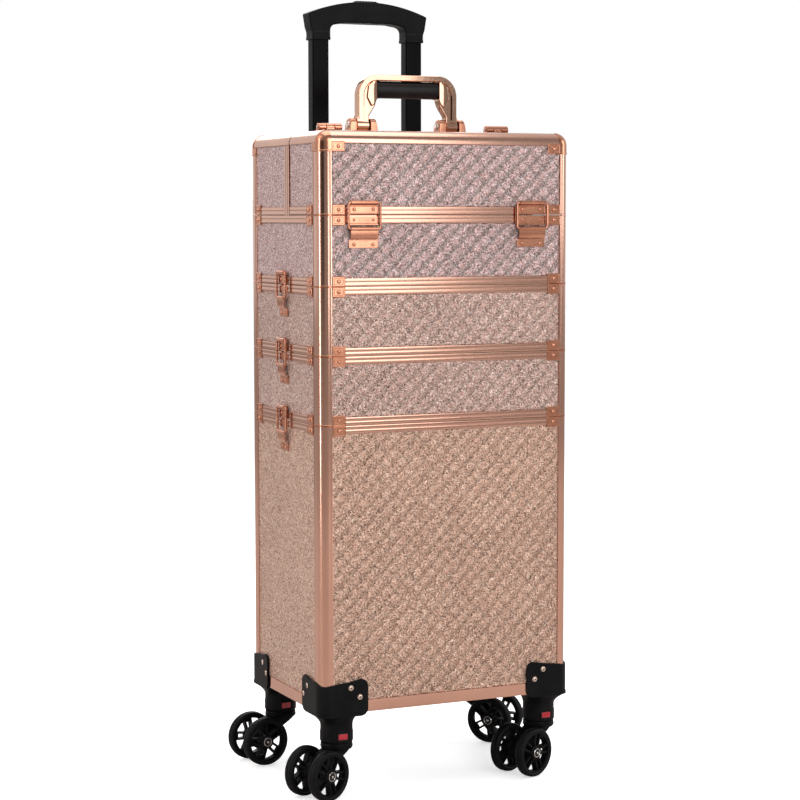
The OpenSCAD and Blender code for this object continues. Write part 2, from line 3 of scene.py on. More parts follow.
import bmesh
import bpy
import numpy as np
from mathutils import Matrix, Vector


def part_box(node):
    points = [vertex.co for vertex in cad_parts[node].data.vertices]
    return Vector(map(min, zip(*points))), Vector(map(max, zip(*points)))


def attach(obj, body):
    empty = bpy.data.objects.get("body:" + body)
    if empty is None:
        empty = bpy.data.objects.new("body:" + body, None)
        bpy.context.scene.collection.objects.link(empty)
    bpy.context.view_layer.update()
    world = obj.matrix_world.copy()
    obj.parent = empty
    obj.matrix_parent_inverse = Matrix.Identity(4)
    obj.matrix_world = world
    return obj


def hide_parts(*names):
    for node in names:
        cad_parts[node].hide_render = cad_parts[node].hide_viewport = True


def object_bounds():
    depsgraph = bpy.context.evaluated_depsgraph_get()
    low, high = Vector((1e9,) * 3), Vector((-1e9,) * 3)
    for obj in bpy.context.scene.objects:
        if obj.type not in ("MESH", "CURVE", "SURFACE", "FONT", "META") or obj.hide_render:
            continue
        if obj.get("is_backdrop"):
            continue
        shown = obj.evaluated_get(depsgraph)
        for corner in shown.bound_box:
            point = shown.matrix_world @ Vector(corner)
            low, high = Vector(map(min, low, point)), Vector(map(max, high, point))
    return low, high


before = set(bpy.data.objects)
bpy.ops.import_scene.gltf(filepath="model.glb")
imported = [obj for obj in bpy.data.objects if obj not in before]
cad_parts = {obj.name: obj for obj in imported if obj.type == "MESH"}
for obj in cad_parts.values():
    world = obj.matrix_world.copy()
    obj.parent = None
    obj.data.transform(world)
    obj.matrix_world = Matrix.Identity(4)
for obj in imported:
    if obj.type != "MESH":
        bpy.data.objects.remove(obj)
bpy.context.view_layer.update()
MM = 0.001
scene = bpy.context.scene


# ---- Places, all in millimetres, from the CAD
def box(node):
    lo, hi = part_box(node)
    return lo / MM, hi / MM


def middle(node):
    lo, hi = box(node)
    return (lo + hi) / 2


base_lo, base_hi = box("base_frame")
HALF_W, HALF_D = base_hi.x, base_hi.y
# heights of the seams, the lid's lower edge, the roof and the plane between lid and hood
Z_BASE, Z_LOW = base_lo.z, base_hi.z
Z_UP = box("lower_tier_frame")[1].z
Z_TOP = box("upper_tier_frame")[1].z
LID_GAP = 0.4
Z_LID = box("lid_frame")[0].z - LID_GAP
Z_ROOF = box("top_case_frame")[1].z
SPLIT_Y = box("lid_frame")[1].y + 1.0
SEAM, GAP = 0.2, 0.1
# corner posts, their rounded edge, rails, roof bars, top caps and boards
POST_W, POST_D, EDGE_R = 15, 25, 15
RAIL_H, RAIL_T, FOOT_H = 10, 7, 15
BAR, CAP_H = 16, 26
PANEL_T, INSET = 5, 1
HOOD_POST = 15
# how far rails and boards reach between the posts, along x and along y
REACH_X, REACH_Y = HALF_W - POST_W - GAP, HALF_D - POST_D - GAP
ENDS = (-1, 1)

X, Y, Z = Vector((1, 0, 0)), Vector((0, 1, 0)), Vector((0, 0, 1))


def move(x, y, z):
    return Matrix.Translation((x, y, z))


def turn(axis, degrees):
    return Matrix.Rotation(math.radians(degrees), 4, axis)


def flip(axis):
    return Matrix.Scale(-1, 4, axis)


def corner(sx, sy):
    """Puts what is drawn for the front left corner, with that corner at the origin, at any corner."""
    m = flip(X) if sx > 0 else Matrix()
    return m @ (flip(Y) if sy > 0 else Matrix()) @ move(-HALF_W, -HALF_D, 0)


def polar(r, degrees, cx=0, cy=0):
    a = math.radians(degrees)
    return cx + r * math.cos(a), cy + r * math.sin(a)


# ---- Shapes. Each returns a new bmesh.
def faces_of(verts, faces):
    bm = bmesh.new()
    vs = [bm.verts.new(v) for v in verts]
    for f in faces:
        bm.faces.new([vs[i] for i in f])
    bmesh.ops.recalc_face_normals(bm, faces=bm.faces)
    return bm


def block(x0, x1, y0, y1, z0, z1):
    v = [(x, y, z) for x in (x0, x1) for y in (y0, y1) for z in (z0, z1)]
    return faces_of(v, [(0, 1, 3, 2), (4, 6, 7, 5), (0, 4, 5, 1),
                        (2, 3, 7, 6), (0, 2, 6, 4), (1, 5, 7, 3)])


PLANES = {
    "x": lambda u, v, w: (w, u, v),
    "y": lambda u, v, w: (u, w, v),
    "z": lambda u, v, w: (u, v, w),
}


def prism(outline, axis, a, b):
    """An outline in the plane across an axis, drawn out from a to b along it."""
    place, n = PLANES[axis], len(outline)
    v = [place(p[0], p[1], w) for w in (a, b) for p in outline]
    sides = [(i, (i + 1) % n, n + (i + 1) % n, n + i) for i in range(n)]
    return faces_of(v, [tuple(range(n - 1, -1, -1)), tuple(range(n, 2 * n))] + sides)


def lathe(profile, n=32):
    """A profile of (radius, height) turned about the z axis, closed where the radius is nought."""
    v, rings, f = [], [], []
    for r, z in profile:
        count = 1 if r < 1e-6 else n
        rings.append(list(range(len(v), len(v) + count)))
        v += [(*polar(r, 360 * k / n), z) for k in range(count)]
    for a, b in zip(rings, rings[1:]):
        for k in range(n):
            k2 = (k + 1) % n
            if len(a) == 1:
                f.append((a[0], b[k], b[k2]))
            elif len(b) == 1:
                f.append((a[k2], a[k], b[0]))
            else:
                f.append((a[k], a[k2], b[k2], b[k]))
    return faces_of(v, f)


def rod(r, length, chamfer=0.3, n=24):
    """A cylinder up the z axis with a small chamfer at both ends."""
    c = min(chamfer, r * 0.5, length * 0.4)
    return lathe([(0, 0), (r - c, 0), (r, c), (r, length - c), (r - c, length), (0, length)], n)


def ring(r0, r1, z0, z1, c=0.3, n=48):
    """A flat ring with chamfered edges, as a closed loop."""
    p = [(r0 + c, z0), (r1 - c, z0), (r1, z0 + c), (r1, z1 - c),
         (r1 - c, z1), (r0 + c, z1), (r0, z1 - c), (r0, z0 + c)]
    return lathe(p + p[:1], n)


def hoop(half, n):
    """A closed profile turned about the z axis, given the half of it below z = 0."""
    loop = half + [(r, -z) for r, z in half[::-1]]
    return lathe(loop + loop[:1], n)


def loops(v, count, closed=False):
    """A skin over that many loops of points, with an end face at both ends unless it closes on itself."""
    m, f = len(v) // count, []
    for i in range(count if closed else count - 1):
        j = (i + 1) % count
        f += [(i * m + k, i * m + (k + 1) % m, j * m + (k + 1) % m, j * m + k) for k in range(m)]
    if not closed:
        f += [tuple(range(m - 1, -1, -1)), tuple(range((count - 1) * m, count * m))]
    return faces_of(v, f)


def along(path, section, closed=False, side=Y):
    """A section (u across, v outwards) carried along a path; side is the direction of u."""
    pts = [Vector(p) for p in path]
    n, v = len(pts), []
    for i, p in enumerate(pts):
        a = pts[i - 1] if (i or closed) else pts[0]
        b = pts[(i + 1) % n] if (i < n - 1 or closed) else pts[-1]
        out = side.cross((b - a).normalized()).normalized()
        v += [p + side * s[0] + out * s[1] for s in section]
    return loops(v, n, closed)


def circle(r, n=12):
    return [polar(r, 360 * k / n) for k in range(n)]


def rounded(w, h, r, n=5, cx=0, cy=0):
    """Outline of a rectangle with round corners."""
    return [polar(r, a0 + 90 * k / n, cx + sx * (w / 2 - r), cy + sy * (h / 2 - r))
            for sx, sy, a0 in ((1, 1, 0), (-1, 1, 90), (-1, -1, 180), (1, -1, 270)) for k in range(n + 1)]


def soften(bm, width, segments, limit):
    """Bevels the edges that are sharper than the limit."""
    edges = [e for e in bm.edges if len(e.link_faces) == 2 and e.calc_face_angle(0) > math.radians(limit)]
    bmesh.ops.bevel(bm, geom=edges, offset=width, segments=segments, profile=0.6,
                    affect="EDGES", clamp_overlap=True)
    return bm


class Piece:
    """One visible piece: shapes are added in millimetres, then done() makes the object."""

    def __init__(self, name, body, mats, slot=None, replaces=()):
        self.bm, self.name, self.body, self.mats = bmesh.new(), name, body, mats
        self.slot, self.replaces = slot, replaces

    def add(self, bm, at=None, mat=0, bevel=0.0, segments=2, limit=28):
        if bevel:
            soften(bm, bevel, segments, limit)
        for f in bm.faces:
            f.material_index = mat
        if at is not None:
            bm.transform(at)
            if at.determinant() < 0:
                bmesh.ops.reverse_faces(bm, faces=bm.faces)
        part = bpy.data.meshes.new("part")
        bm.to_mesh(part)
        bm.free()
        self.bm.from_mesh(part)
        bpy.data.meshes.remove(part)
        return self

    def done(self):
        me = bpy.data.meshes.new(self.name)
        self.bm.to_mesh(me)
        self.bm.free()
        me.transform(Matrix.Scale(MM, 4))
        me.polygons.foreach_set("use_smooth", [True] * len(me.polygons))
        me.set_sharp_from_angle(angle=math.radians(40))
        return show(self.name, me, self.body, self.mats, self.replaces, True)


def show(name, me, body, mats, replaces=(), weighted=False):
    for m in mats:
        me.materials.append(m)
    ob = bpy.data.objects.new(name, me)
    scene.collection.objects.link(ob)
    if weighted:
        mod = ob.modifiers.new("normals", "WEIGHTED_NORMAL")
        mod.keep_sharp = True
        mod.weight = 60
    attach(ob, body)
    if replaces:
        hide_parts(*replaces)
    return ob


# ---- Materials
def nodes_of(name):
    m = bpy.data.materials.new(name)
    m.use_nodes = True
    nt = m.node_tree
    return m, nt, nt.nodes["Principled BSDF"], nt.nodes.new("ShaderNodeTexCoord").outputs["Object"]


def wire(nt, n, inputs):
    """Sets a node's inputs, by name or number: an output is linked, and anything else is a value."""
    for key, v in inputs.items():
        if isinstance(v, bpy.types.NodeSocket):
            nt.links.new(v, n.inputs[key])
        else:
            n.inputs[key].default_value = v
    return n


def node(nt, kind, inputs=(), **settings):
    n = nt.nodes.new(kind)
    for k, v in settings.items():
        setattr(n, k, v)
    return wire(nt, n, dict(inputs))


def ramp(nt, fac, stops):
    n = nt.nodes.new("ShaderNodeValToRGB")
    cr = n.color_ramp
    while len(cr.elements) < len(stops):
        cr.elements.new(0.5)
    for e, (p, c) in zip(cr.elements, stops):
        e.position = p
        e.color = (c[0], c[1], c[2], 1) if hasattr(c, "__len__") else (c, c, c, 1)
    nt.links.new(fac, n.inputs[0])
    return n.outputs[0]


def noise_of(nt, vec, scale, detail=3.0):
    return node(nt, "ShaderNodeTexNoise", {"Scale": scale, "Detail": detail, "Vector": vec}).outputs["Fac"]


def bumped(nt, height, strength, distance):
    inputs = {"Strength": strength, "Distance": distance, "Height": height}
    return node(nt, "ShaderNodeBump", inputs).outputs[0]


def mix(nt, a, b, factor=1.0, blend="MULTIPLY"):
    """Two colours mixed; sockets 6 and 7 are the colours of the node, and output 2 is its result."""
    n = node(nt, "ShaderNodeMix", data_type="RGBA", blend_type=blend)
    return wire(nt, n, {"Factor": factor, 6: a, 7: b}).outputs[2]


def vector(nt, operation, inputs):
    return node(nt, "ShaderNodeVectorMath", inputs, operation=operation).outputs[0]


def plain(name, dark, light, rough, metallic=0.0, grain=900.0, depth=0.00004, patch=35.0,
          stretch=(1, 1, 1), coat=0.0, specular=0.5):
    """A moulded, painted or plated finish: colour drifts in patches, roughness and relief follow a grain."""
    m, nt, b, co = nodes_of(name)
    fine = noise_of(nt, node(nt, "ShaderNodeMapping", {"Scale": stretch, "Vector": co}).outputs[0], grain, 2)
    wire(nt, b, {
        "Base Color": ramp(nt, noise_of(nt, co, patch, 4), [(0.3, dark), (0.7, light)]),
        "Roughness": ramp(nt, fine, [(0.25, rough[0]), (0.75, rough[1])]),
        "Normal": bumped(nt, fine, 0.5, depth),
        "Metallic": metallic, "Coat Weight": coat, "Specular IOR Level": specular})
    return m


FLAKES, FLAKE_TILT, FLAKE_METAL = 960.0, 0.72, 0.45
WHITE = (1, 1, 1)


def glitter(name, deep, mid, spark, tint, hollow, crest_highlight):
    """Glitter vinyl: fine flakes that each have a tone, a tilt and a gloss of their own."""
    m, nt, b, co = nodes_of(name)
    flakes = node(nt, "ShaderNodeTexVoronoi", {"Scale": FLAKES, "Vector": co}, voronoi_dimensions="3D")
    chance = flakes.outputs["Color"]
    split = node(nt, "ShaderNodeSeparateColor", {0: chance})
    tone = ramp(nt, split.outputs[0], [(0.0, deep), (0.46, mid), (0.70, mid), (1.0, spark)])
    hue = ramp(nt, split.outputs[1], [(0.0, tint), (0.25, WHITE), (0.8, WHITE), (1.0, (1.06, 0.93, 0.90))])
    drift = ramp(nt, noise_of(nt, co, 9.0, 2), [(0.3, (0.94, 0.93, 0.93)), (0.7, (1.04, 1.04, 1.04))])
    # the embossing: painted shade darkens the hollows and painted highlight lightens the raised tops
    relief = node(nt, "ShaderNodeAttribute", attribute_name="relief").outputs["Fac"]
    shade = ramp(nt, relief, [(0.0, hollow), (0.30, (0.87, 0.87, 0.86)), (0.72, (0.97, 0.96, 0.96)), (1.0, crest_highlight)])
    # each flake tilts its own way
    off = vector(nt, "SUBTRACT", {0: chance, 1: (0.5, 0.5, 0.5)})
    lean = vector(nt, "SCALE", {0: off, "Scale": FLAKE_TILT})
    normal = node(nt, "ShaderNodeNewGeometry").outputs["Normal"]
    wire(nt, b, {
        "Base Color": mix(nt, mix(nt, mix(nt, tone, hue), drift), shade),
        "Roughness": ramp(nt, split.outputs[2], [(0.0, 0.22), (1.0, 0.5)]),
        "Normal": vector(nt, "NORMALIZE", {0: vector(nt, "ADD", {0: normal, 1: lean})}),
        "Metallic": FLAKE_METAL})
    return m


# the last two colours of each are painted shade for the emboss hollows and painted highlight for its raised tops
GLITTER = {
    "top": glitter("glitter_top", (0.08, 0.048, 0.047), (0.60, 0.395, 0.365), (1.0, 0.86, 0.86),
                   (0.84, 0.95, 1.04), (0.52, 0.57, 0.56), (1.0, 0.96, 0.98)),
    "mid": glitter("glitter_mid", (0.08, 0.045, 0.037), (0.59, 0.375, 0.31), (1.0, 0.84, 0.76),
                   (0.88, 0.96, 1.0), (0.68, 0.69, 0.68), (1.0, 0.97, 0.97)),
    "low": glitter("glitter_low", (0.085, 0.044, 0.030), (0.63, 0.385, 0.28), (1.0, 0.79, 0.66),
                   (0.92, 0.97, 1.0), (0.68, 0.66, 0.64), (1.0, 0.98, 0.97)),
}
PROFILE = plain("rose_gold_anodised", (0.62, 0.348, 0.26), (0.72, 0.42, 0.318), (0.11, 0.19), 1.0,
                grain=1400.0, depth=0.00001, patch=6.0)
COPPER = plain("copper_plate", (0.55, 0.24, 0.15), (0.67, 0.315, 0.20), (0.14, 0.26), 1.0,
               grain=2600.0, depth=0.00002, patch=60.0, stretch=(0.12, 0.12, 1))
POLISHED = plain("polished_rose_gold", (0.58, 0.34, 0.235), (0.66, 0.405, 0.29), (0.05, 0.10), 1.0,
                 grain=500.0, depth=0.000005, patch=14.0)
SCREW = plain("plated_screw", (0.62, 0.48, 0.41), (0.76, 0.61, 0.53), (0.12, 0.22), 1.0,
              grain=1500.0, patch=300.0)
CHROME = plain("hub_chrome", (0.62, 0.60, 0.58), (0.76, 0.74, 0.72), (0.06, 0.14), 1.0,
               grain=1200.0, patch=120.0)
PLASTIC = plain("black_nylon", (0.003, 0.003, 0.0033), (0.007, 0.0065, 0.007), (0.34, 0.50),
                grain=1700.0, depth=0.00008, patch=40.0, specular=0.08)
TYRE = plain("wheel_black", (0.003, 0.003, 0.0033), (0.007, 0.007, 0.0075), (0.38, 0.52),
             grain=1300.0, depth=0.00006, patch=60.0, specular=0.10)
TUBE = plain("satin_black_tube", (0.002, 0.002, 0.0022), (0.004, 0.0037, 0.004), (0.26, 0.36),
             grain=700.0, depth=0.00002, patch=10.0, stretch=(1, 1, 0.05), specular=0.05)
RUBBER = plain("grip_black", (0.006, 0.0045, 0.0045), (0.012, 0.009, 0.009), (0.26, 0.40),
               grain=2200.0, depth=0.0001, patch=50.0, specular=0.2)
RED = plain("red_tab", (0.30, 0.004, 0.014), (0.46, 0.009, 0.022), (0.16, 0.28), grain=900.0,
            depth=0.00002, patch=70.0, coat=0.3)
# near-black painted shade for screw recesses, gaps round buttons, seams and hidden axles
RECESS_SHADE = plain("painted_recess_shade", (0.004, 0.003, 0.003), (0.010, 0.007, 0.006), (0.6, 0.8), patch=60.0)


def lining():
    """Black woven lining inside the boards."""
    m, nt, b, co = nodes_of("black_lining")
    thread = {"Scale": 420.0, "Distortion": 0.6, "Vector": co}
    threads = [node(nt, "ShaderNodeTexWave", thread, bands_direction=d).outputs["Fac"] for d in "XZ"]
    weave = node(nt, "ShaderNodeMath", enumerate(threads), operation="MAXIMUM").outputs[0]
    wire(nt, b, {
        "Base Color": ramp(nt, weave, [(0.2, (0.006, 0.006, 0.006)), (0.9, (0.028, 0.027, 0.028))]),
        "Roughness": ramp(nt, noise_of(nt, co, 60.0), [(0.3, 0.75), (0.7, 0.92)]),
        "Normal": bumped(nt, weave, 0.6, 0.0002)})
    return m


LINING = lining()


# ---- Profiles
def quarter(w, d, groove=0.45):
    """Outline of a corner profile: flat, groove, rounded edge, groove, flat. The corner is at the origin."""
    pts = [(1.1, d), (0.3, d - 0.15), (0, d - 0.7)]
    if d - EDGE_R > 6:
        pts += [(0, d - 2.6), (groove, d - 3.0), (groove, d - 3.6), (0, d - 4.0)]
    for k in range(31):
        r = EDGE_R - (groove if k in (26, 27) else 0)
        pts.append(polar(r, 180 + 3 * k, EDGE_R, EDGE_R))
    if w > EDGE_R:
        pts += [(w - 0.2, 0), (w, 0.3)]
    return pts + [(w, d)]


def ridges(h, count, height=0.13, groove=0.07):
    """Outline (out, z) of a rail's face: rounded ridges with narrow grooves between them."""
    pts, step = [(-1.2, 0)], h / count
    for i in range(count):
        for k in range(9):
            t = k / 8
            out = height * math.sin(math.pi * t) ** 0.4 - (groove if k in (0, 8) else 0.0)
            pts.append((out, i * step + 0.25 + t * (step - 0.5)))
    return pts + [(-1.2, h)]


def bar(piece, along_x, outline, a, b):
    piece.add(prism(outline, "x" if along_x else "y", a, b))


def rail(piece, along_x, sign, z0, h, a, b, count=2):
    """A rail on the front, back or a side, from a to b."""
    face = HALF_D if along_x else HALF_W
    outline = [(sign * (face + o), z0 + z) for o, z in ridges(h, count)]
    bar(piece, along_x, outline + [(sign * (face - RAIL_T), z0 + z) for z in (h, 0)], a, b)


JOINT_H, JOINT_OUT = 1.3, 0.28


def post(piece, sx, sy, z0, z1, rings=(True, True)):
    """A corner post, with the thin joint rings at its ends."""
    at = corner(sx, sy)
    piece.add(prism(quarter(POST_W, POST_D), "z", z0, z1), at)
    arc = [polar(EDGE_R + JOINT_OUT, a, EDGE_R, EDGE_R) for a in range(180, 271, 6)]
    outline = [(-JOINT_OUT, POST_D - 0.2)] + arc + [(EDGE_R, 2), (2, EDGE_R), (2, POST_D - 0.2)]
    for z, here in zip((z0, z1 - JOINT_H), rings):
        if here:
            piece.add(prism(outline, "z", z, z + JOINT_H), at, 1, 0.25, 1, 50)


def ring_frame(body, z0, z1, low_h):
    p = Piece(body + "_profiles", body, [PROFILE, COPPER], "rose_gold_profile", [body + "_frame"])
    foot = low_h == FOOT_H
    for sx in ENDS:
        for sy in ENDS:
            post(p, sx, sy, z0, z1, (not foot, True))
    for s in ENDS:
        for along_x, reach in ((True, REACH_X), (False, REACH_Y)):
            rail(p, along_x, s, z0, low_h, -reach, reach, 1 if foot else 2)
            rail(p, along_x, s, z1 - RAIL_H, RAIL_H, -reach, reach)
    return p


# body, glitter, lower and upper end, height of the lower rail, embossing of the front
SECTIONS = [("base", "low", Z_BASE, Z_LOW, FOOT_H, 0.8),
            ("lower_tier", "mid", Z_LOW + SEAM, Z_UP, RAIL_H, 0.95),
            ("upper_tier", "mid", Z_UP + SEAM, Z_TOP, RAIL_H, 1.0)]
for body, _, z0, z1, low_h, _ in SECTIONS:
    ring_frame(body, z0, z1, low_h).done()


def roof_bar(piece, along_x, sign, a, b):
    face = HALF_D if along_x else HALF_W
    bar(piece, along_x, [(sign * (face - u), Z_ROOF - v) for u, v in quarter(BAR, BAR)], a, b)


HOOD_Y, LID_Y = SPLIT_Y + 1, SPLIT_Y - 1
Z_HOOD, Z_LID_LOW = Z_LID + GAP, Z_LID + LID_GAP
FLAT_X = HALF_W - BAR - GAP
# across the upright trim beside the lid's gap: (along y, out), with two grooves
TRIM = [(0, 0), (0, 0.9), (0.5, 1.15), (4, 1.15), (4.4, 0.6), (5, 0.6), (5.4, 1.15), (9.6, 1.15),
        (10, 0.6), (10.6, 0.6), (11, 1.15), (14.4, 1.15), (14.9, 0.8), (14.9, 0)]
top = ring_frame("top_case", Z_TOP + SEAM, Z_LID, RAIL_H)
for sx in ENDS:
    post(top, sx, 1, Z_HOOD, Z_ROOF - CAP_H - GAP, (True, False))
    rail(top, False, sx, Z_HOOD, RAIL_H, HOOD_Y + HOOD_POST + GAP, REACH_Y)
    trim = [(sx * (HALF_W - 1 + o), HOOD_Y + y) for y, o in TRIM]
    trim += [(sx * (HALF_W - RAIL_T), HOOD_Y + y) for y in (TRIM[-1][0], 0)]
    top.add(prism(trim, "z", Z_HOOD, Z_ROOF - BAR - GAP))
    roof_bar(top, False, sx, HOOD_Y, HALF_D - BAR)
rail(top, True, 1, Z_HOOD, RAIL_H, -REACH_X, REACH_X)
roof_bar(top, True, 1, -REACH_X, REACH_X)
top.add(block(-FLAT_X, FLAT_X, HOOD_Y, HOOD_Y + HOOD_POST - GAP, Z_ROOF - 6, Z_ROOF), bevel=0.5)
top.done()

lid = Piece("lid_profiles", "lid", [PROFILE, COPPER], "rose_gold_profile", ["lid_frame"])
for sx in ENDS:
    post(lid, sx, -1, Z_LID_LOW, Z_ROOF - CAP_H - GAP, (True, False))
    rail(lid, False, sx, Z_LID_LOW, RAIL_H, -REACH_Y, LID_Y)
    roof_bar(lid, False, sx, BAR - HALF_D + GAP, LID_Y)
rail(lid, True, -1, Z_LID_LOW, RAIL_H, -REACH_X, REACH_X)
roof_bar(lid, True, -1, -REACH_X, REACH_X)
lid.done()


# ---- Panels: an embossed glitter skin on a lined board. A panel's plane is x (a front or back face),
# y (a side) or z (the roof). FACE is how far out it lies, and ACROSS is the axis through it.
CELL_U, CELL_V, STEPS, MARGIN = 20.6, 20.0, 12, 1.2
FACE = {"x": HALF_D, "y": HALF_W, "z": Z_ROOF}
ACROSS = {"x": "y", "y": "x", "z": "z"}
SKIN_IN, SKIN_T = 0.25, 0.6


def emboss(u, v, height, narrow=0.7):
    """Pillows on a diamond lattice, steeper on one side."""
    p, q = u / CELL_U + v / CELL_V, u / CELL_U - v / CELL_V
    p, q = p - np.floor(p), q - np.floor(q)
    return height * (np.sin(np.pi * q ** 0.62) ** narrow) * (np.sin(np.pi * p) ** 0.7)


def skin(name, body, mat, plane, sign, a0, a1, b0, b1, height):
    """An embossed sheet; a and b are its two directions."""
    def stops(lo, hi, cell):
        step = cell / STEPS
        inner = np.arange(math.ceil((lo + 0.4) / step), math.floor((hi - 0.4) / step) + 1) * step
        return np.concatenate([[lo], inner, [hi]])
    u, v = np.meshgrid(stops(a0, a1, CELL_U), stops(b0, b1, CELL_V))
    edge = np.minimum.reduce([u - a0, a1 - u, v - b0, b1 - v])
    # the relief value becomes painted shade in the hollows and painted highlight on the raised tops; flat at the
    # border, and a narrower range on the sides
    shade = np.where(edge < MARGIN, 0.6, emboss(u, v, 1.0, 2.0)).astype(np.float32)
    if plane == "y":
        shade = 0.6 + 0.25 * shade
    face = FACE[plane] - INSET - SKIN_IN
    out = (face + emboss(u, v, height) * np.clip(edge / MARGIN, 0, 1)) * sign
    back = np.full(u.shape, (face - SKIN_T) * sign)
    place = PLANES[ACROSS[plane]]
    co = np.concatenate([np.stack(place(u, v, w), -1).reshape(-1, 3) for w in (out, back)]) * MM
    rows, cols = u.shape
    n = rows * cols
    idx = np.arange(n).reshape(rows, cols)
    quads = np.stack([idx[:-1, :-1], idx[:-1, 1:], idx[1:, 1:], idx[1:, :-1]], -1).reshape(-1, 4)
    loop = np.concatenate([idx[0, :], idx[1:, -1], idx[-1, -2::-1], idx[-2:0:-1, 0]])
    nxt = np.roll(loop, -1)
    faces = np.concatenate([quads, np.stack([nxt, loop, loop + n, nxt + n], -1)])
    me = bpy.data.meshes.new(name)
    me.from_pydata(co.tolist(), [], faces.tolist())
    me.attributes.new("grid_index", "INT", "POINT").data.foreach_set("value", np.arange(len(co), dtype=np.int32))
    me.polygons.foreach_set("use_smooth", [True] * len(me.polygons))
    bm = bmesh.new()
    bm.from_mesh(me)
    bmesh.ops.delete(bm, geom=[x for x in bm.verts if not x.link_faces], context="VERTS")
    bm.normal_update()
    bm.faces.ensure_lookup_table()
    if bm.faces[(rows // 2) * (cols - 1) + cols // 2].normal.dot(Vector(place(0, 0, sign))) < 0:
        bmesh.ops.reverse_faces(bm, faces=bm.faces)
    bm.to_mesh(me)
    bm.free()
    values = np.zeros(len(me.vertices), np.float32)
    for i, q in enumerate(me.attributes["grid_index"].data):
        values[i] = shade.flat[q.value % n]
    me.attributes.remove(me.attributes["grid_index"])
    me.attributes.new("relief", "FLOAT", "POINT").data.foreach_set("value", values)
    me.set_sharp_from_angle(angle=math.radians(60))
    return show(name, me, body, [mat])


def boards(name, body, walls, replaces, floor_z):
    """The boards behind the skins: (plane, sign, a0, a1, b0, b1)."""
    p = Piece(name, body, [LINING], "glitter_panel", replaces)
    for plane, sign, a0, a1, b0, b1 in walls:
        face = FACE[plane] - INSET
        w0, w1 = sorted((sign * (face - PANEL_T), sign * (face - SKIN_T)))
        p.add(prism([(a0, b0), (a1, b0), (a1, b1), (a0, b1)], ACROSS[plane], w0, w1), bevel=0.4)
    if floor_z is not None:
        w, d = HALF_W - RAIL_T - GAP, HALF_D - RAIL_T - GAP
        half = [(REACH_X, -d), (REACH_X, -REACH_Y), (w, -REACH_Y), (w, REACH_Y), (REACH_X, REACH_Y), (REACH_X, d)]
        p.add(prism(half + [(-x, -y) for x, y in half], "z", floor_z, floor_z + PANEL_T), bevel=0.5)
    return p.done()


def box_walls(z0, z1, low_h):
    """The four walls between a section's rails."""
    b0, b1 = z0 + low_h + GAP, z1 - RAIL_H - GAP
    return [(plane, s, -r, r, b0, b1) for plane, r in (("x", REACH_X), ("y", REACH_Y)) for s in ENDS]


SIDES = {("x", -1): "front", ("x", 1): "back", ("y", -1): "left", ("y", 1): "right", ("z", 1): "roof"}


def section_panels(section, mat, walls, heights, floor_z):
    boards(section + "_boards", section, walls, [section + "_panels"], floor_z)
    for i, w in enumerate(walls):
        upper = "_upper" if i > 3 and w[0] != "z" and section != "lid" else ""
        skin(f"{section}_skin_{SIDES[w[:2]]}{upper}", section, GLITTER[mat], *w, heights[w[0] != "x"])


for body, mat, z0, z1, low_h, height in SECTIONS:
    section_panels(body, mat, box_walls(z0, z1, low_h), (height, 0.4), z0 + 1)
hood_b = (Z_LID + RAIL_H + GAP, Z_ROOF - BAR - GAP)
hood_from = HOOD_Y + HOOD_POST + GAP
walls = box_walls(Z_TOP + SEAM, Z_LID, RAIL_H) + [("x", 1, -REACH_X, REACH_X) + hood_b]
walls += [("y", s, hood_from, REACH_Y) + hood_b for s in ENDS]
walls.append(("z", 1, -FLAT_X, FLAT_X, hood_from, HALF_D - BAR - GAP))
section_panels("top_case", "top", walls, (1.35, 0.5), Z_TOP + SEAM + 1)
lid_b = (Z_LID_LOW + RAIL_H + GAP, Z_ROOF - BAR - GAP)
walls = [("x", -1, -REACH_X, REACH_X) + lid_b] + [("y", s, -REACH_Y, LID_Y) + lid_b for s in ENDS]
walls.append(("z", 1, -FLAT_X, FLAT_X, BAR - HALF_D + GAP, LID_Y))
section_panels("lid", "top", walls, (1.35, 0.5), None)


# ---- Dividers in the two middle tiers, with round upper corners and a dip for the fingers
for tier in ("lower_tier", "upper_tier"):
    lo, hi = box(tier + "_dividers")
    p = Piece(tier + "_divider_boards", tier, [LINING], "divider_board", [tier + "_dividers"])
    for s in ENDS:
        ly, h, r = hi.y, hi.z - lo.z, 6
        pts = [(-ly, 0), (ly, 0)] + [polar(r, a, ly - r, h - r) for a in range(0, 91, 15)]
        pts += [(26 * math.cos(math.radians(a)), h + 12 - 20 * math.sin(math.radians(a)))
                for a in range(37, 144, 10)]
        pts += [polar(r, a, r - ly, h - r) for a in range(90, 181, 15)]
        p.add(prism(pts, "x", *sorted((s * hi.x, s * (hi.x - 3)))), move(0, 0, lo.z), bevel=0.8, limit=50)
    p.done()


# ---- Small fittings
def dome(r, h, n=20):
    return lathe([(0, h), (r * 0.35, h * 0.96), (r * 0.68, h * 0.78), (r * 0.9, h * 0.45),
                  (r, h * 0.12), (r, -0.2)], n)


def rivet(piece, at, r, h):
    piece.add(dome(r, h), at)
    piece.add(ring(r * 0.98, r * 1.28, -0.1, 0.16, 0.05, 20), at)


def screw(piece, at, r, h, mat=0):
    """A domed screw with a cross recess, which is filled with painted shade: material 1 of the piece."""
    piece.add(dome(r, h, 24), at, mat)
    piece.add(ring(r * 0.98, r * 1.22, -0.1, h * 0.25, 0.08, 24), at, mat)
    for a in (20, 110):
        piece.add(block(-r * 0.52, r * 0.52, -r * 0.11, r * 0.11, h * 0.86, h * 1.02), at @ turn("Z", a), 1)


def hardware(name, body, replaces, mats=(COPPER,)):
    return Piece(name, body, mats, "rose_gold_hardware", [replaces])


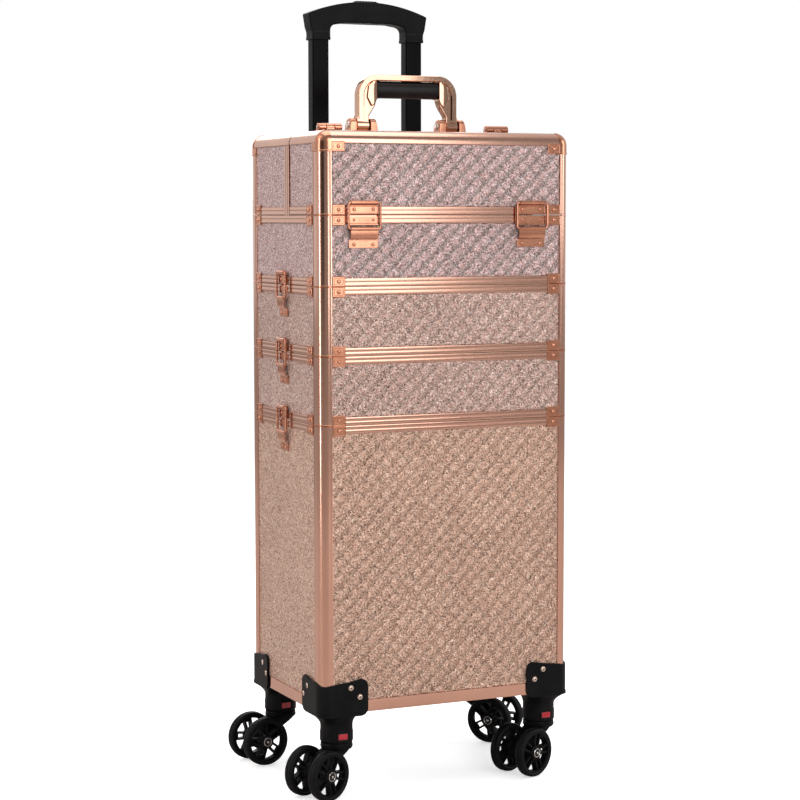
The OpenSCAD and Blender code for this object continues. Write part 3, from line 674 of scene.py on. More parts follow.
def across(x, y, z):
    """Turns what stands on the z axis to lie along x, from that point."""
    return move(x, y, z) @ turn("Y", 90)


OUT_Y = turn("X", 90)     # z of a shape points to -y
OUT_X = turn("Y", -90)    # z of a shape points to -x
PLATE_W, PLATE_H, PLATE_T = 17, 12.5, 0.9


def corner_plate(piece, sx, sy, z, on_front):
    """A small square plate with a raised rim and a rivet, beside a post."""
    beside, z = GAP + PLATE_W / 2, z + PLATE_H / 2
    at = corner(sx, sy) @ (move(POST_W + beside, 0, z) @ OUT_Y if on_front
                           else move(0, POST_D + beside, z) @ OUT_X @ turn("Z", 90))
    piece.add(prism(rounded(PLATE_W, PLATE_H, 0.9, 3), "z", -0.6, PLATE_T - 0.25), at, 0, 0.2, 1, 50)
    for w, h, r, low, wire_r, n in ((1.2, 1.2, 0.8, 0.3, 0.42, 8), (5.2, 5.0, 0.6, 0.32, 0.3, 6)):
        loop = [(x, y, PLATE_T - low) for x, y in rounded(PLATE_W - w, PLATE_H - h, r, 3)]
        piece.add(along(loop, circle(wire_r, n), True, Z), at)
    rivet(piece, at @ move(0, 0, PLATE_T - 0.25), 2.5, 1.4)


def plate_pair(piece, sx, sy, z):
    for on_front in (True, False):
        corner_plate(piece, sx, sy, z, on_front)


def plate_ring(piece, z):
    for sx in ENDS:
        for sy in ENDS:
            plate_pair(piece, sx, sy, z)


def cap(piece, sx, sy):
    """The rounded cap over a top corner, with a lip at its lower edge."""
    r = EDGE_R + 0.6
    levels = [(r + 0.5, -CAP_H), (r + 0.65, -CAP_H + 0.6), (r + 0.5, -CAP_H + 1.6),
              (r, -CAP_H + 2.1), (r, -EDGE_R)]
    levels += [polar(r, e, 0, -EDGE_R) for e in range(6, 91, 6)]
    inner = [(max(q - 1.8, 0.3), min(z, 0.6 - 1.8)) for q, z in levels]
    verts, angles = [], range(180, 271, 6)
    for a in angles:
        verts += [(*polar(q, a, EDGE_R, EDGE_R), Z_ROOF + z) for q, z in levels + inner[::-1]]
    bm = loops(verts, len(angles))
    bmesh.ops.remove_doubles(bm, verts=bm.verts, dist=0.02)
    bmesh.ops.recalc_face_normals(bm, faces=bm.faces)
    piece.add(bm, corner(sx, sy))
    # its flange on the side
    low = Z_ROOF - CAP_H
    piece.add(block(-0.6, 6, EDGE_R - 0.6, POST_D, low, Z_ROOF - BAR - GAP), corner(sx, sy), 0, 0.3, 1)
    piece.add(block(-1.1, 2, EDGE_R - 0.4, POST_D, low, low + 1.9), corner(sx, sy), 0, 0.45, 2)


# ---- Latches, drawn for the front: x across, -y outwards, z = 0 at the seam
PIVOT_OUT, BAIL_Z, LEVER_Z, WIRE_R = 4, 15.2, -16.5, 1.5
FRONT_W, SIDE_W, RIVET_IN, CATCH_LIP = 38, 25, 6.5, 3.2


def latch_place(name, seam_z):
    m = middle("bail_" + name)
    if "front" in name:
        return move(m.x, -HALF_D, seam_z)
    s = 1 if m.x > 0 else -1
    return move(s * HALF_W, 0, seam_z) @ turn("Z", s * 90)


def bar_across(r, length, y, z, c=0.4):
    bm = rod(r, length, c, 20)
    bm.transform(across(-length / 2, y, z))
    return bm


def sheet_of(profile, thickness, width):
    """A bent sheet: its line (y, z) has a thickness, and it is drawn out along x."""
    outline, back = [], []
    for i, p in enumerate(profile):
        a, b = profile[max(i - 1, 0)], profile[min(i + 1, len(profile) - 1)]
        d = Vector((b[0] - a[0], b[1] - a[1])).normalized()
        n = Vector((-d.y, d.x)) * thickness / 2
        outline.append((p[0] + n.x, p[1] + n.y))
        back.append((p[0] - n.x, p[1] - n.y))
    return prism(outline + back[::-1], "x", -width / 2, width / 2)


def hook(piece, at, w):
    """The plate that the bail and lever hang from."""
    piece.add(block(-w / 2, w / 2, -1.5, -0.05, 1.0, 13.4), at, 0, 0.45)
    for s in ENDS:
        x = s * (w / 2 - 0.5)
        piece.add(block(x - 0.5, x + 0.5, -2.1, -0.1, 1.2, 12.4), at, 0, 0.3)
        rivet(piece, at @ move(s * (w / 2 - RIVET_IN), -1.5, 7) @ OUT_Y, 2.3, 1.2)
    piece.add(bar_across(1.25, w, -1.6, 11.6), at)
    piece.add(bar_across(2.5, w - 2, -PIVOT_OUT, BAIL_Z, 0.5), at)
    piece.add(block(-w / 2 + 1, w / 2 - 1, -3.4, -0.6, 13.4, 16.4), at, 0, 0.6)
    piece.add(bar_across(0.95, w, -1.5, 1.7), at)


def catch(piece, at, w, lip):
    """The plates under the seam, with a lip that the bail hooks under, or lip 0 for none."""
    piece.add(block(-w / 2, w / 2, -1.2, -0.05, -10, -1.4), at, 0, 0.35)
    for s in ENDS:
        x = s * (w / 2 - RIVET_IN)
        rivet(piece, at @ move(x, -1.2, -5.6) @ OUT_Y, 1.7, 0.8 if lip else 0.3)
        rivet(piece, at @ move(x, -0.8, -35.2) @ OUT_Y, 2.4, 1.3)
    if lip:
        piece.add(block(-w / 2, w / 2, -lip, -0.1, -12.4, -10), at, 0, 0.7, 3)
    piece.add(block(-w / 2, w / 2, -0.8, INSET - 0.05, -39.5, -29.3), at, 0, 0.4)
    piece.add(block(-w / 2 + 0.6, w / 2 - 0.6, -1.05, 0, -31.0, -29.6), at, 0, 0.4)


def bail(name, at, w):
    loop = rounded(w + 7 - 2 * WIRE_R, BAIL_Z - LEVER_Z, 3.2, 4, 0, (BAIL_Z + LEVER_Z) / 2)
    p = hardware("wire_" + name, "bail_" + name, "bail_" + name)
    p.add(along([(x, -PIVOT_OUT, z) for x, z in loop], circle(WIRE_R), True, Y), at)
    p.done()


def lever(name, at, w):
    p = hardware("flap_" + name, "lever_" + name, "lever_" + name)
    p.add(bar_across(2.4, w - 2, -PIVOT_OUT, LEVER_Z, 0.5), at)
    line = [(-4.4, -16.2), (-4.25, -19.5), (-4.25, -24.4), (-3.7, -26.6), (-3.0, -28.0), (-2.2, -28.3)]
    p.add(sheet_of(line, 1.25, w - 2), at, 0, 0.3, 2, 55)
    p.done()


LATCHES = [(n, Z_LID, FRONT_W) for n in ("front_left", "front_right")]
LATCHES += [(f"{side}_{level}", z, SIDE_W) for side in ("left", "right")
            for level, z in (("low", Z_LOW), ("mid", Z_UP), ("top", Z_TOP))]
for name, z, w in LATCHES:
    at = latch_place(name, z)
    bail(name, at, w)
    lever(name, at, w)

fit = hardware("base_hardware", "base", "base_fittings")
plate_ring(fit, Z_LOW - PLATE_H)
for s in ("left", "right"):
    catch(fit, latch_place(s + "_low", Z_LOW), SIDE_W, 0)
fit.done()
for tier, z0, z1, low, high in (("lower_tier", Z_LOW, Z_UP, "low", "mid"),
                                ("upper_tier", Z_UP, Z_TOP, "mid", "top")):
    fit = hardware(tier + "_hardware", tier, tier + "_fittings")
    plate_ring(fit, z0 + SEAM)
    plate_ring(fit, z1 - PLATE_H)
    for s in ("left", "right"):
        hook(fit, latch_place(f"{s}_{low}", z0), SIDE_W)
        catch(fit, latch_place(f"{s}_{high}", z1), SIDE_W, 0)
    fit.done()

fit = hardware("top_case_hardware", "top_case", "top_case_fittings")
plate_ring(fit, Z_TOP + SEAM)
plate_ring(fit, Z_LID - PLATE_H)
for sx, s in ((-1, "left"), (1, "right")):
    plate_pair(fit, sx, 1, Z_LID + 0.5)
    cap(fit, sx, 1)
    hook(fit, latch_place(s + "_top", Z_TOP), SIDE_W)
    catch(fit, latch_place("front_" + s, Z_LID), FRONT_W, CATCH_LIP)
fit.done()

fit = hardware("lid_hardware", "lid", "lid_fittings", (COPPER, RECESS_SHADE, SCREW))
for sx, s in ((-1, "left"), (1, "right")):
    plate_pair(fit, sx, -1, Z_LID_LOW)
    corner_plate(fit, sx, -1, Z_ROOF - CAP_H, True)
    cap(fit, sx, -1)
    hook(fit, latch_place("front_" + s, Z_LID), FRONT_W)

# ---- Lid hinges on the roof
HINGE_X, HINGE_W, HINGE_Z, HINGE_R = 116, 32, Z_ROOF + 7, 5
THIRD = HINGE_W / 3
KNUCKLE = THIRD - 0.4


def leaf(piece, x0, s, knuckles):
    """s is +1 for the leaf on the hood and -1 for the leaf on the lid; knuckles are the thirds it fills."""
    outline = rounded(HINGE_W, 12, 2.5, 4, x0 + HINGE_W / 2, SPLIT_Y + s * 13.5)
    piece.add(prism(outline, "z", Z_ROOF + 0.05, Z_ROOF + 2), None, 0, 0.5, 2, 50)
    curl = [(SPLIT_Y + s * y, Z_ROOF + z) for y, z in ((9, 1.0), (6.4, 1.3), (4.6, 3.2), (4.2, 6.0))]
    for k in knuckles:
        x = x0 + k * THIRD + 0.2
        barrel = [(0, 0), (HINGE_R - 0.7, 0), (HINGE_R, 0.6), (HINGE_R, KNUCKLE - 0.6),
                  (HINGE_R - 0.7, KNUCKLE), (0, KNUCKLE)]
        piece.add(lathe(barrel, 28), across(x, SPLIT_Y, HINGE_Z))
        piece.add(sheet_of(curl, 1.7, KNUCKLE), move(x + KNUCKLE / 2, 0, 0), 0, 0.2, 1, 60)
    for k in ENDS:
        screw(piece, move(x0 + HINGE_W / 2 + k * 10, SPLIT_Y + s * 14.2, Z_ROOF + 2), 2.3, 0.9, 2)


for s in ENDS:
    leaf(fit, s * HINGE_X - HINGE_W / 2, -1, (1,))
fit.done()
p = hardware("hood_hinges", "top_case", "hood_hinge_leaves", (COPPER, RECESS_SHADE, SCREW))
for s in ENDS:
    x0 = s * HINGE_X - HINGE_W / 2
    leaf(p, x0, 1, (0, 2))
    p.add(rod(2, HINGE_W + 1.6, 0.6, 20), across(x0 - 0.8, SPLIT_Y, HINGE_Z), 2)
p.done()

# ---- Carry handle
arch_lo, arch_hi = box("carry_handle_arch")
g_lo, g_hi = box("carry_handle_grip")
ARM_W, BOSS_R, PIVOT_R, BOW_R, STRIP_T, STRIP_HALF = 17, 8, 4, 26, 8, 8
PIVOT_Y, PIVOT_Z = (arch_lo.y + arch_hi.y) / 2, Z_ROOF + 11
ARM_X, OUTER, TOP_Z = arch_hi.x - ARM_W / 2, arch_hi.x - 2, arch_hi.z
path = [(OUTER, PIVOT_Z + BOSS_R), (OUTER, PIVOT_Z + 24)]
path += [polar(BOW_R, a, OUTER - BOW_R, TOP_Z - BOW_R) for a in range(0, 91, 6)]
path += [(-x, z) for x, z in path[::-1]]
half = [(0, -0.15), (5.5, 0.0), (7.3, 0.3), (STRIP_HALF, 1.0), (STRIP_HALF, STRIP_T - 1.4), (6.8, STRIP_T)]
strip = half + [(-u, v) for u, v in half[:0:-1]]
p = Piece("carry_handle_bow", "carry_handle", [POLISHED], "polished_rose_gold", ["carry_handle_arch"])
p.add(along([(x, PIVOT_Y, z) for x, z in path], [(u, -v) for u, v in strip][::-1], False, Y))
gx, low = g_hi.x, PIVOT_Z + BOSS_R
web = [(ARM_X - 8.5, PIVOT_Z + 1), (ARM_X + 8.5, PIVOT_Z + 1), (ARM_X + 8.5, low + 2), (OUTER - 0.8, low + 9),
       (OUTER - 1.5, TOP_Z - BOW_R), (OUTER - 9.5, TOP_Z - 9.5), (gx + 8, TOP_Z - 4), (gx + 0.1, TOP_Z - 5),
       (gx + 0.1, g_lo.z), (gx + 2, g_lo.z - 9), (ARM_X - 8.5, low + 4)]
# the thick facet that holds the end of the grip
facet = [(gx + 0.2, TOP_Z - STRIP_T + 0.5), (gx + 0.2, g_lo.z - 0.6), (gx + 3.2, g_lo.z - 8),
         (gx + 8, g_lo.z - 11), (gx + 14, g_lo.z + 1), (gx + 12, TOP_Z - BOW_R + 12),
         (gx + 5, TOP_Z - STRIP_T + 0.5)]
for s in ENDS:
    for outline, depth, bevel, segments in ((web, 6, 1.6, 3), (facet, 9.2, 3.0, 2)):
        p.add(prism([(s * x, z) for x, z in outline], "y", PIVOT_Y - depth, PIVOT_Y + depth),
              None, 0, bevel, segments)
    p.add(rod(BOSS_R, ARM_W, 1.0, 32), across(s * ARM_X - ARM_W / 2, PIVOT_Y, PIVOT_Z))
p.done()


def fuller(value, power):
    """A sine or cosine bent towards a squarer curve."""
    return math.copysign(abs(value) ** power, value)


def superellipse(x, ry, rz, z, n=32):
    """A loop across x, a little fuller than an ellipse."""
    turns = [polar(1, 360 * k / n) for k in range(n)]
    return [(x, PIVOT_Y + ry * fuller(d, 0.9), z + rz * fuller(c, 0.9)) for c, d in turns]


gz, gh, gd = (g_lo.z + g_hi.z) / 2, (g_hi.z - g_lo.z) / 2, (g_hi.y - g_lo.y) / 2
stations = [(-gx, 0.90), (-gx + 0.5, 0.96), (-gx + 1.4, 1.0)]
stations += [(x, 1.0 - 0.012 * math.cos(math.pi * x / 2 / gx)) for x in range(-40, 41, 8)]
stations += [(-x, sc) for x, sc in stations[2::-1]]
p = Piece("carry_handle_pad", "carry_handle", [RUBBER], "handle_grip", ["carry_handle_grip"])
p.add(loops([v for x, sc in stations for v in superellipse(x, gd * sc, gh * sc, gz)], len(stations)))
for s in ENDS:
    p.add(along(superellipse(s * (gx - 4), gd + 0.05, gh + 0.05, gz), circle(0.35, 6), True, X))
p.done()

p = hardware("handle_bracket_pair", "top_case", "handle_brackets", (COPPER, RECESS_SHADE, SCREW))
CHEEK_IN, CHEEK_OUT, CHEEK_R = 9.5, 19.5, 9
for s in ENDS:
    at = move(s * ARM_X, 0, 0)
    foot = rounded(2 * CHEEK_OUT, 2 * CHEEK_R, 1.5, 3, 0, PIVOT_Y)
    p.add(prism(foot, "z", Z_ROOF - 0.9, Z_ROOF + 1.6), at, 0, 0.5, 2, 50)
    for k in ENDS:
        ear = [(PIVOT_Y + CHEEK_R * fuller(c, 0.7), PIVOT_Z + CHEEK_R * fuller(d, 0.7))
               for c, d in (polar(1, a) for a in range(180, -1, -12))]
        ear = [(PIVOT_Y - CHEEK_R, Z_ROOF)] + ear + [(PIVOT_Y + CHEEK_R, Z_ROOF)]
        bm = prism(ear, "x", *sorted((k * CHEEK_IN, k * CHEEK_OUT)))
        for v in bm.verts:
            if abs(v.co.x) > CHEEK_IN + 1:
                v.co.x -= k * 3.2 * max(0.0, (v.co.z - Z_ROOF - 7) / 13)
        p.add(bm, at, 0, 1.1, 3, 50)
        head = lathe([(0, 1.3), (2.6, 1.2), (4.4, 0.7), (4.8, 0), (4.8, -2)], 28)
        p.add(head, at @ move(k * (CHEEK_OUT - 1.0), PIVOT_Y, PIVOT_Z) @ turn("Y", 90 * k), 2)
    p.add(rod(PIVOT_R, 2 * CHEEK_OUT - 2, 0.3, 24), at @ across(1 - CHEEK_OUT, PIVOT_Y, PIVOT_Z), 2)
p.done()

# ---- Trolley
tube_lo, tube_hi = box("trolley_inner_tubes")
out_lo, out_hi = box("trolley_outer_tubes")
grip_lo, grip_hi = box("trolley_grip")
TUBE_W, TUBE_D = 23, tube_hi.y - tube_lo.y
TUBE_X, TUBE_Y = tube_hi.x - TUBE_W / 2, (tube_lo.y + tube_hi.y) / 2


def box_tube(piece, s, w, d, wall, z0, z1, bevel):
    """A hollow rectangular tube with chamfered corners, open at both ends."""
    outer = rounded(w, d, bevel, 3, s * TUBE_X, TUBE_Y)
    inner = rounded(w - 2 * wall, d - 2 * wall, max(bevel - wall, 0.4), 3, s * TUBE_X, TUBE_Y)
    v = [(x, y, z) for o, z in ((outer, z0), (outer, z1), (inner, z1), (inner, z0)) for x, y in o]
    piece.add(loops(v, 4, True))


p = Piece("trolley_slide_tubes", "trolley", [TUBE], "black_tube", ["trolley_inner_tubes"])
for s in ENDS:
    box_tube(p, s, TUBE_W, TUBE_D, 1.4, tube_lo.z, tube_hi.z, 2.2)
p.done()
p = Piece("trolley_fixed_tubes", "base", [TUBE], "black_tube", ["trolley_outer_tubes"])
ow, od = 2 * (out_hi.x - TUBE_X), out_hi.y - out_lo.y
for s in ENDS:
    box_tube(p, s, ow, od, 2, out_lo.z, out_hi.z, 2.6)
    box_tube(p, s, ow + 2.6, od + 2.6, 1.6, out_hi.z - 14, out_hi.z + 1.0, 3.4)
p.done()
# each clamp is two hollow halves, so the sliding tube can pass
c_lo, c_hi = box("trolley_clamps")
CLAMP_H = 20
p = Piece("trolley_clamp_blocks", "base", [PLASTIC, RECESS_SHADE, SCREW], "black_plastic", ["trolley_clamps"])
cw, w, d = c_hi.x - TUBE_X, ow / 2 + 0.05, od / 2 + 0.05
half = [(0, c_lo.y), (cw + 7, c_lo.y), (cw + 7, c_lo.y + 4), (cw, c_lo.y + 6.5), (cw, c_hi.y - 3),
        (cw - 3, c_hi.y), (0, c_hi.y), (0, TUBE_Y + d), (w, TUBE_Y + d), (w, TUBE_Y - d), (0, TUBE_Y - d)]
for s in ENDS:
    for z in (c_lo.z, c_hi.z - CLAMP_H):
        for k in ENDS:
            p.add(prism([(k * x, y) for x, y in half], "z", z, z + CLAMP_H), move(s * TUBE_X, 0, 0), 0, 0.5, 2, 40)
            at = move(s * TUBE_X + k * (cw + 3.6), c_lo.y + 4, z + CLAMP_H / 2) @ turn("X", -90)
            screw(p, at, 2.0, 1.0, 2)
p.done()

# the grip: an arch on top, and under it collars round the tubes; RISE is the arch's height
ARCH, RISE, LOW, TOP = grip_hi.x, 17, grip_lo.z, grip_hi.z
arch_r = (ARCH ** 2 + RISE ** 2) / (2 * RISE)
step = math.degrees(math.asin(ARCH / arch_r)) / 12
arch = [polar(arch_r, 90 - k * step, 0, TOP - arch_r) for k in range(-12, 13)]
co, ci = TUBE_X + TUBE_W / 2 + 1.2, TUBE_X - TUBE_W / 2 - 1.2
under = [(ARCH - 1.0, TOP - RISE - 5), (co + 2.4, LOW + 17), (co, LOW + 10), (co, LOW), (ci, LOW),
         (ci, LOW + 14), (ci - 2, LOW + 18), (ci - 6, LOW + 20.5), (ci - 22, LOW + 23.0)]
p = Piece("trolley_hand_grip", "trolley", [PLASTIC, RECESS_SHADE], "black_plastic", ["trolley_grip"])
p.add(prism(arch + under + [(-x, z) for x, z in under[::-1]], "y", grip_lo.y, grip_hi.y), None, 0, 2.6, 3, 12)
cx, collar_w, collar_d = (co + ci) / 2, co - ci, grip_hi.y - grip_lo.y
for s in ENDS:
    # the parting line round the grip's arms, a thin bead in painted recess shade, and the collar's lip
    line = rounded(collar_w + 0.3, collar_d + 0.3, 2.6, 4, s * cx, TUBE_Y)
    p.add(along([(x, y, LOW + 10.5) for x, y in line], circle(0.35, 6), True, Z), None, 1)
    lip = rounded(collar_w + 0.9, collar_d + 0.6, 2.4, 4, s * cx, TUBE_Y)
    p.add(prism(lip, "z", LOW, LOW + 4), None, 0, 0.8, 2, 50)
well = rounded(33.5, 13.5, 3, 5, 0, TUBE_Y)
p.add(along([(x, y, TOP - 0.4) for x, y in well], circle(0.8, 8), True, Z))
# the floor of the well round the button is painted shade
p.add(prism(rounded(32, 12, 2.6, 5, 0, TUBE_Y), "z", TOP - 0.5, TOP + 0.05), None, 1)
p.done()
b_lo, b_hi = box("trolley_button")
p = Piece("trolley_push_button", "trolley_button", [RUBBER], "black_plastic", ["trolley_button"])
button = rounded(b_hi.x - b_lo.x, b_hi.y - b_lo.y, 2.4, 5, 0, TUBE_Y)
p.add(prism(button, "z", b_lo.z, TOP + 1.6), None, 0, 0.9, 3, 50)
for x in range(-8, 9, 4):
    p.add(block(x - 0.5, x + 0.5, TUBE_Y - 3.5, TUBE_Y + 3.5, TOP + 1.2, TOP + 2.1), None, 0, 0.3)
p.done()

# ---- Casters
WRAP, WRAP_H, WRAP_T, WRAP_LOW, WRAP_R = 60, 42, 2.5, -4, 9
CORNERS = {"fl": (-1, -1), "fr": (1, -1), "rl": (-1, 1), "rr": (1, 1)}
SOCKET_R, SOCKET_LOW, FOOT = 20, 66, 54
WHEEL_R, WHEEL_W, AXLE_R = 31.0, 13.0, 4


def wrap_shell(piece, at):
    """The shell round the case's corner: it follows the rounded edge, and its top dips there."""
    flat, arc, r, c = WRAP - EDGE_R, EDGE_R * math.pi / 2, WRAP_R, 0.7
    total = 2 * flat + arc
    marks = sorted({0, 0.4, 1.2, 2.6, 4.5, 6.7, r, *np.linspace(r, flat, 9), *np.linspace(flat, flat + arc / 2, 7)})
    marks += [total - m for m in marks[::-1][1:]]
    verts = []
    for t in marks:
        d = min(t, total - t)
        bite = r - math.sqrt(max(r * r - (r - d) ** 2, 0)) if d < r else 0
        near = max(0.0, min(1.0, (d - r) / (total / 2 - r)))
        high = WRAP_H - bite - 7.5 * (0.5 - 0.5 * math.cos(math.pi * near)) - 1.2 * math.sin(2 * math.pi * near)
        low = WRAP_LOW + bite
        if t <= flat:
            p0, n0 = Vector((WRAP - t, 0)), Vector((0, -1))
        elif t >= total - flat:
            p0, n0 = Vector((0, WRAP - (total - t))), Vector((-1, 0))
        else:
            n0 = Vector(polar(1, 270 - 90 * (t - flat) / arc))
            p0 = Vector((EDGE_R, EDGE_R)) + n0 * EDGE_R
        i, m, o = (p0 + n0 * (0.05 + out) for out in (0, WRAP_T - c, WRAP_T))
        verts += [(*q, z) for q, z in ((i, low), (m, low), (o, low + c), (o, high - c), (m, high), (i, high))]
    piece.add(loops(verts, len(marks)), at @ move(0, 0, Z_BASE))


def swivel_of(key):
    """The axis that a caster swivels about, behind its release button."""
    return Vector((middle("release_button_" + key).x,
                   box("release_button_" + key)[0].y + 1.4 + SOCKET_R, 0))


p = Piece("caster_socket_shells", "base", [PLASTIC, RECESS_SHADE], "black_plastic", ["caster_sockets"])
q = Piece("caster_socket_screws", "base", [SCREW, RECESS_SHADE], "screws", ["socket_screws"])
for key, (sx, sy) in CORNERS.items():
    at, sw = corner(sx, sy), swivel_of(key)
    wrap_shell(p, at)
    # the shell's floor runs into a round socket
    square = rounded(FOOT, FOOT, 15, 8, FOOT / 2 - WRAP_T, FOOT / 2 - WRAP_T)
    round_ = rounded(2 * SOCKET_R, 2 * SOCKET_R, SOCKET_R - 0.05, 8, HALF_W - abs(sw.x), HALF_D - abs(sw.y))
    floor_z = Z_BASE - 3.4
    levels = [(Z_BASE - 0.1, 0.0), (floor_z, 0.0)]
    levels += [(floor_z - 14 * t, math.sin(math.pi / 2 * t) ** 0.8) for t in (0.04, 0.12, 0.25, 0.4, 0.6, 0.8, 1.0)]
    p.add(loops([(a[0] * (1 - e) + b[0] * e, a[1] * (1 - e) + b[1] * e, z)
                 for z, e in levels for a, b in zip(square, round_)], len(levels)), at)
    cup = [(0, Z_BASE - 17), (20, Z_BASE - 17), (20, SOCKET_LOW + 14), (20.6, SOCKET_LOW + 13.2),
           (20.6, SOCKET_LOW + 1.6), (19.6, SOCKET_LOW), (6, SOCKET_LOW), (6, SOCKET_LOW + 2), (0, SOCKET_LOW + 2)]
    p.add(lathe(cup, 56), move(sw.x, sw.y, 0))
    # frame round the release button, bent to the socket
    bz, face_y = middle("release_button_" + key).z, sw.y - SOCKET_R
    loop = [(x, face_y - 0.25 + x * x / 80, z) for x, z in rounded(14.4, 9.4, 1.2, 3, 0, bz)]
    p.add(along(loop, circle(0.75, 8), True, Y), move(sw.x, 0, 0))
    # the opening in the frame, behind the red tab, is filled with painted shade
    p.add(prism(rounded(13.2, 8.2, 0.8, 3, 0, bz), "y", face_y - 0.7, face_y + 2), move(sw.x, 0, 0), 1)
    for a, z in ((37, 32), (49, 20)):
        screw(q, at @ move(a, -WRAP_T - 0.05, Z_BASE + z) @ OUT_Y, 2.8, 1.3)
        screw(q, at @ move(-WRAP_T - 0.05, a + 6, Z_BASE + z - 2) @ OUT_X, 2.8, 1.3)
p.done()
q.done()

for key in CORNERS:
    name = "release_button_" + key
    lo, hi = box(name)
    p = Piece("release_tab_" + key, name, [RED], "red_plastic", [name])
    cx, cz = (lo.x + hi.x) / 2, (lo.z + hi.z) / 2
    p.add(prism(rounded(hi.x - lo.x, hi.z - lo.z, 1.2, 4, cx, cz), "y", lo.y, hi.y), None, 0, 0.5, 2, 50)
    for z in (cz - 1.8, cz, cz + 1.8):
        p.add(block(cx - 4, cx + 4, lo.y - 0.35, lo.y + 0.3, z - 0.35, z + 0.35), None, 0, 0.15)
    p.done()


def wheel_shape(p, at):
    """A wheel about the z axis: tyre, rim, five pairs of spokes, hub and its bright ring."""
    r, h = WHEEL_R, WHEEL_W / 2
    tyre = [(25.4, 1.6 - h), (26.2, 0.7 - h), (27.6, 0.25 - h), (29.4, 0.8 - h), (30.5, 2.0 - h),
            (r, 4.2 - h), (r, -1.0), (r - 0.5, -0.5)]
    rim = [(23.2, 3.0 - h), (23.6, 1.4 - h), (24.2, 0.9 - h), (25.6, 1.1 - h), (25.9, 2.0 - h)]
    hub = [(4.2, 0.6 - h), (8.4, 0.6 - h), (9.2, 1.4 - h)]
    for half, n, mat in ((tyre, 88, 0), (rim, 80, 1), (hub, 48, 1)):
        p.add(hoop(half, n), at, mat)
    for k in range(5):
        spin = at @ turn("Z", 72 * k)
        for t in ENDS:
            spoke = [(7.5, t * 3.3 - 1.5), (24.0, t * 4.6 - 1.15), (24.0, t * 4.6 + 1.15), (7.5, t * 3.3 + 1.5)]
            p.add(prism(spoke, "z", 2.6 - h, h - 2.2), spin, 1, 0.6, 2, 40)
        p.add(prism([(18.5, -4.6), (23.8, -5.2), (23.8, 5.2), (18.5, 4.6)], "z", -1.2, 1.2), spin, 1, 0.3)
    for side in (at, at @ turn("X", 180)):
        p.add(ring(4.7, 5.8, h - 1.0, h + 0.45, 0.3, 40), side, 2)
        p.add(ring(7.2, 8.6, h - 1.0, h - 0.25, 0.25, 40), side, 1)


for key, (sx, sy) in CORNERS.items():
    sw = swivel_of(key)
    inner, outer = middle(f"wheel_{key}_inner"), middle(f"wheel_{key}_outer")
    axle = (inner + outer) / 2
    back = Vector((axle.x - sw.x, axle.y - sw.y, 0))
    trail, az = back.length, axle.z
    at = move(sw.x, sw.y, 0) @ turn("Z", math.degrees(math.atan2(back.y, back.x)))
    p = Piece("caster_yoke_" + key, "swivel_" + key, [PLASTIC, RECESS_SHADE, CHROME], "black_plastic",
              ["caster_fork_" + key])
    disc = [(0, 65.4), (18.2, 65.4), (19.4, 64.8), (19.8, 63.4), (19.2, 62.8), (19.2, 62.0), (20, 61.4),
            (20, 59.2), (18.6, 57.2), (15, 57), (0, 57)]
    p.add(lathe(disc, 56), at)
    p.add(rod(5, 42, 0.5, 24), at @ move(0, 0, 51))
    fork = [(-15, 58.5), (-13, 54.5), (-7, 50.5), (4, 44.0)]
    fork += [polar(12.6, a, trail, az) for a in range(196, 416, 11)]
    fork += [(27, 50.5), (20, 56.0), (16, 58.5)]
    p.add(prism(fork, "y", -10.6, 10.6), at, 0, 1.6, 3, 40)
    rib = [(-10, 56.5), (2, 48.5), (trail - 9, az + 8), (trail, az + 14.2), (24, 52.8), (15, 57.4)]
    p.add(prism(rib, "y", -11.9, 11.9), at, 0, 0.7, 2, 30)
    boss = [(0, -12.6), (9.5, -12.6), (10.4, -11.8)]
    wheel_at = move(trail, 0, az) @ turn("X", 90)
    p.add(lathe(boss + [(r, -z) for r, z in boss[::-1]], 40), at @ wheel_at)
    axle_len = (outer - inner).length + WHEEL_W + 2
    # the axle, inside the hubs and bosses, is in painted recess shade; its pin is chrome
    for r, extra, chamfer, n, mat in ((AXLE_R, 0, 0.5, 28, 1), (1.6, 0.8, 0.3, 20, 2)):
        long = axle_len + extra
        p.add(rod(r, long, chamfer, n), at @ wheel_at @ move(0, 0, -long / 2), mat)
    p.done()
    for which, c in (("inner", inner), ("outer", outer)):
        name = f"wheel_{key}_{which}"
        w = Piece(f"tyre_{key}_{which}", name, [TYRE, PLASTIC, CHROME], "wheel_plastic", [name])
        y = (at.inverted() @ c).y
        # the wheels of no two casters stop at the same angle
        wheel_shape(w, at @ move(trail, y, az) @ turn("X", 90) @ turn("Z", 18 + 31 * sx + 17 * sy))
        w.done()

# ---- Floor, light, camera
floor_mat = plain("studio_floor", (0.86, 0.86, 0.86), (0.90, 0.90, 0.90), (0.6, 0.75),
                  grain=60.0, depth=0.00002, patch=1.2)
bpy.ops.mesh.primitive_circle_add(vertices=96, radius=14, fill_type="NGON", location=(0, 0, 0))
floor = bpy.context.object
floor.name = "studio_floor"
floor.data.materials.append(floor_mat)
floor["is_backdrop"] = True
# it glows to the camera only, and the metal mirrors a dimmer floor
tree = floor_mat.node_tree
shader = tree.nodes["Principled BSDF"]
rays = tree.nodes.new("ShaderNodeLightPath").outputs
base = shader.inputs["Base Color"].links[0].from_socket
wire(tree, shader, {
    "Emission Color": (1, 1, 1, 1),
    "Emission Strength": node(tree, "ShaderNodeMath", {0: rays["Is Camera Ray"], 1: 0.55},
                              operation="MULTIPLY").outputs[0],
    "Base Color": mix(tree, base, (0.55, 0.50, 0.47, 1), rays["Is Glossy Ray"], "MIX")})


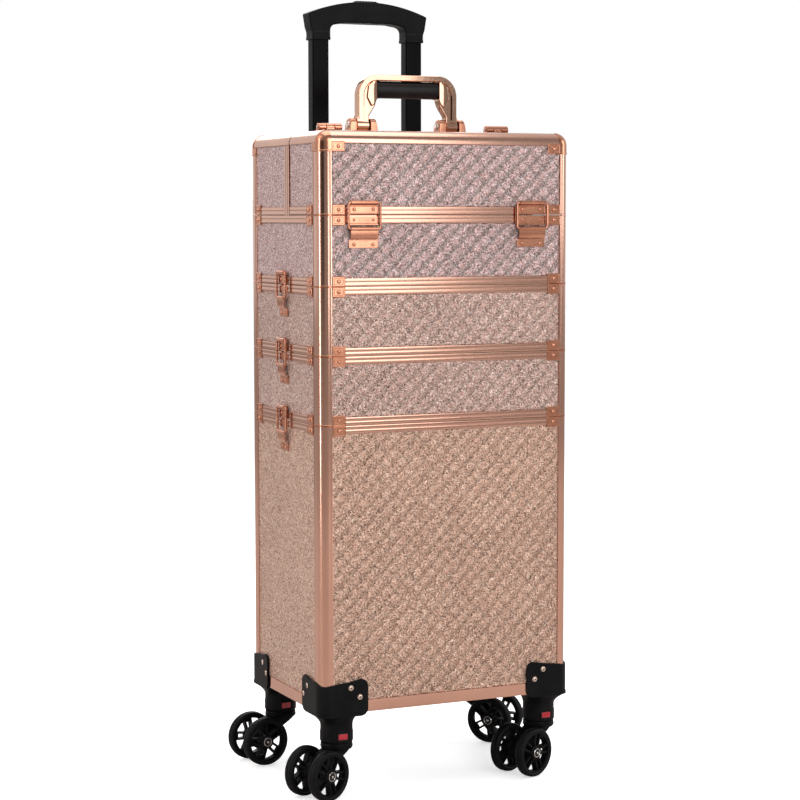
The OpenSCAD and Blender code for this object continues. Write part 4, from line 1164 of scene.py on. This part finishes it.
def soft_light(name, at, look, size, power, colour=(1, 1, 1)):
    data = bpy.data.lights.new(name, "AREA")
    data.shape, data.size, data.size_y, data.energy, data.color = "RECTANGLE", size[0], size[1], power, colour
    ob = bpy.data.objects.new(name, data)
    ob.location = at
    ob.rotation_euler = (Vector(look) - Vector(at)).to_track_quat("-Z", "Y").to_euler()
    scene.collection.objects.link(ob)


soft_light("key", (0.3, -3.0, 1.5), (0, 0, 0.5), (2.2, 2.3), 46)
soft_light("left_strip", (-2.8, 0.15, 1.0), (0, 0, 0.5), (0.25, 2.0), 13)
soft_light("right", (3.0, -1.2, 1.6), (0, 0, 0.5), (1.2, 2.0), 22)
soft_light("fill_left", (-2.3, 0.5, 2.3), (0, 0, 0.5), (1.4, 1.4), 8, (1.0, 0.70, 0.60))
soft_light("overhead", (0.0, 0.1, 3.2), (0, 0, 0.5), (2.4, 2.4), 34)
soft_light("rear", (0.6, 2.9, 1.7), (0, 0, 0.6), (2.0, 2.0), 30)

# The studio's walls: bright behind the case, dimmer in front, and a dark flag to the front left
world = bpy.data.worlds.new("studio")
scene.world = world
world.use_nodes = True
tree = world.node_tree
toward = tree.nodes.new("ShaderNodeTexCoord").outputs["Generated"]
dirs = node(tree, "ShaderNodeSeparateXYZ", {0: toward})
depth = node(tree, "ShaderNodeMapRange", {"Value": dirs.outputs["Y"], "From Min": -1, "From Max": 1})
walls = ramp(tree, depth.outputs[0], [(0.0, 0.34), (0.28, 0.34), (0.55, 0.70), (1.0, 0.85)])
flag = node(tree, "ShaderNodeVectorMath", {0: toward, 1: (-0.906, -0.423, 0.0)}, operation="DOT_PRODUCT")
shade = ramp(tree, flag.outputs["Value"], [(0.925, 1.0), (0.972, 0.10)])
camera_ray = tree.nodes.new("ShaderNodeLightPath").outputs["Is Camera Ray"]
wire(tree, tree.nodes["Background"], {
    "Color": mix(tree, mix(tree, walls, shade), (1, 1, 1, 1), camera_ray, "MIX"), "Strength": 1.0})

# The camera: its heading, how far it looks down, and its roll, in degrees
HEADING, DOWN, ROLL = -24.504, 4.866, -0.071
cam_data = bpy.data.cameras.new("view")
cam_data.lens, cam_data.sensor_width, cam_data.clip_end = 96.71, 36, 60
cam = bpy.data.objects.new("view", cam_data)
cam.location = (-1.1514, -2.5021, 0.7097)
cam.rotation_euler = (turn("Z", HEADING) @ turn("X", 90 - DOWN) @ turn("Z", ROLL)).to_euler()
scene.collection.objects.link(cam)
scene.camera = cam
scene.view_settings.view_transform = "Standard"

lo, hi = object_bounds()
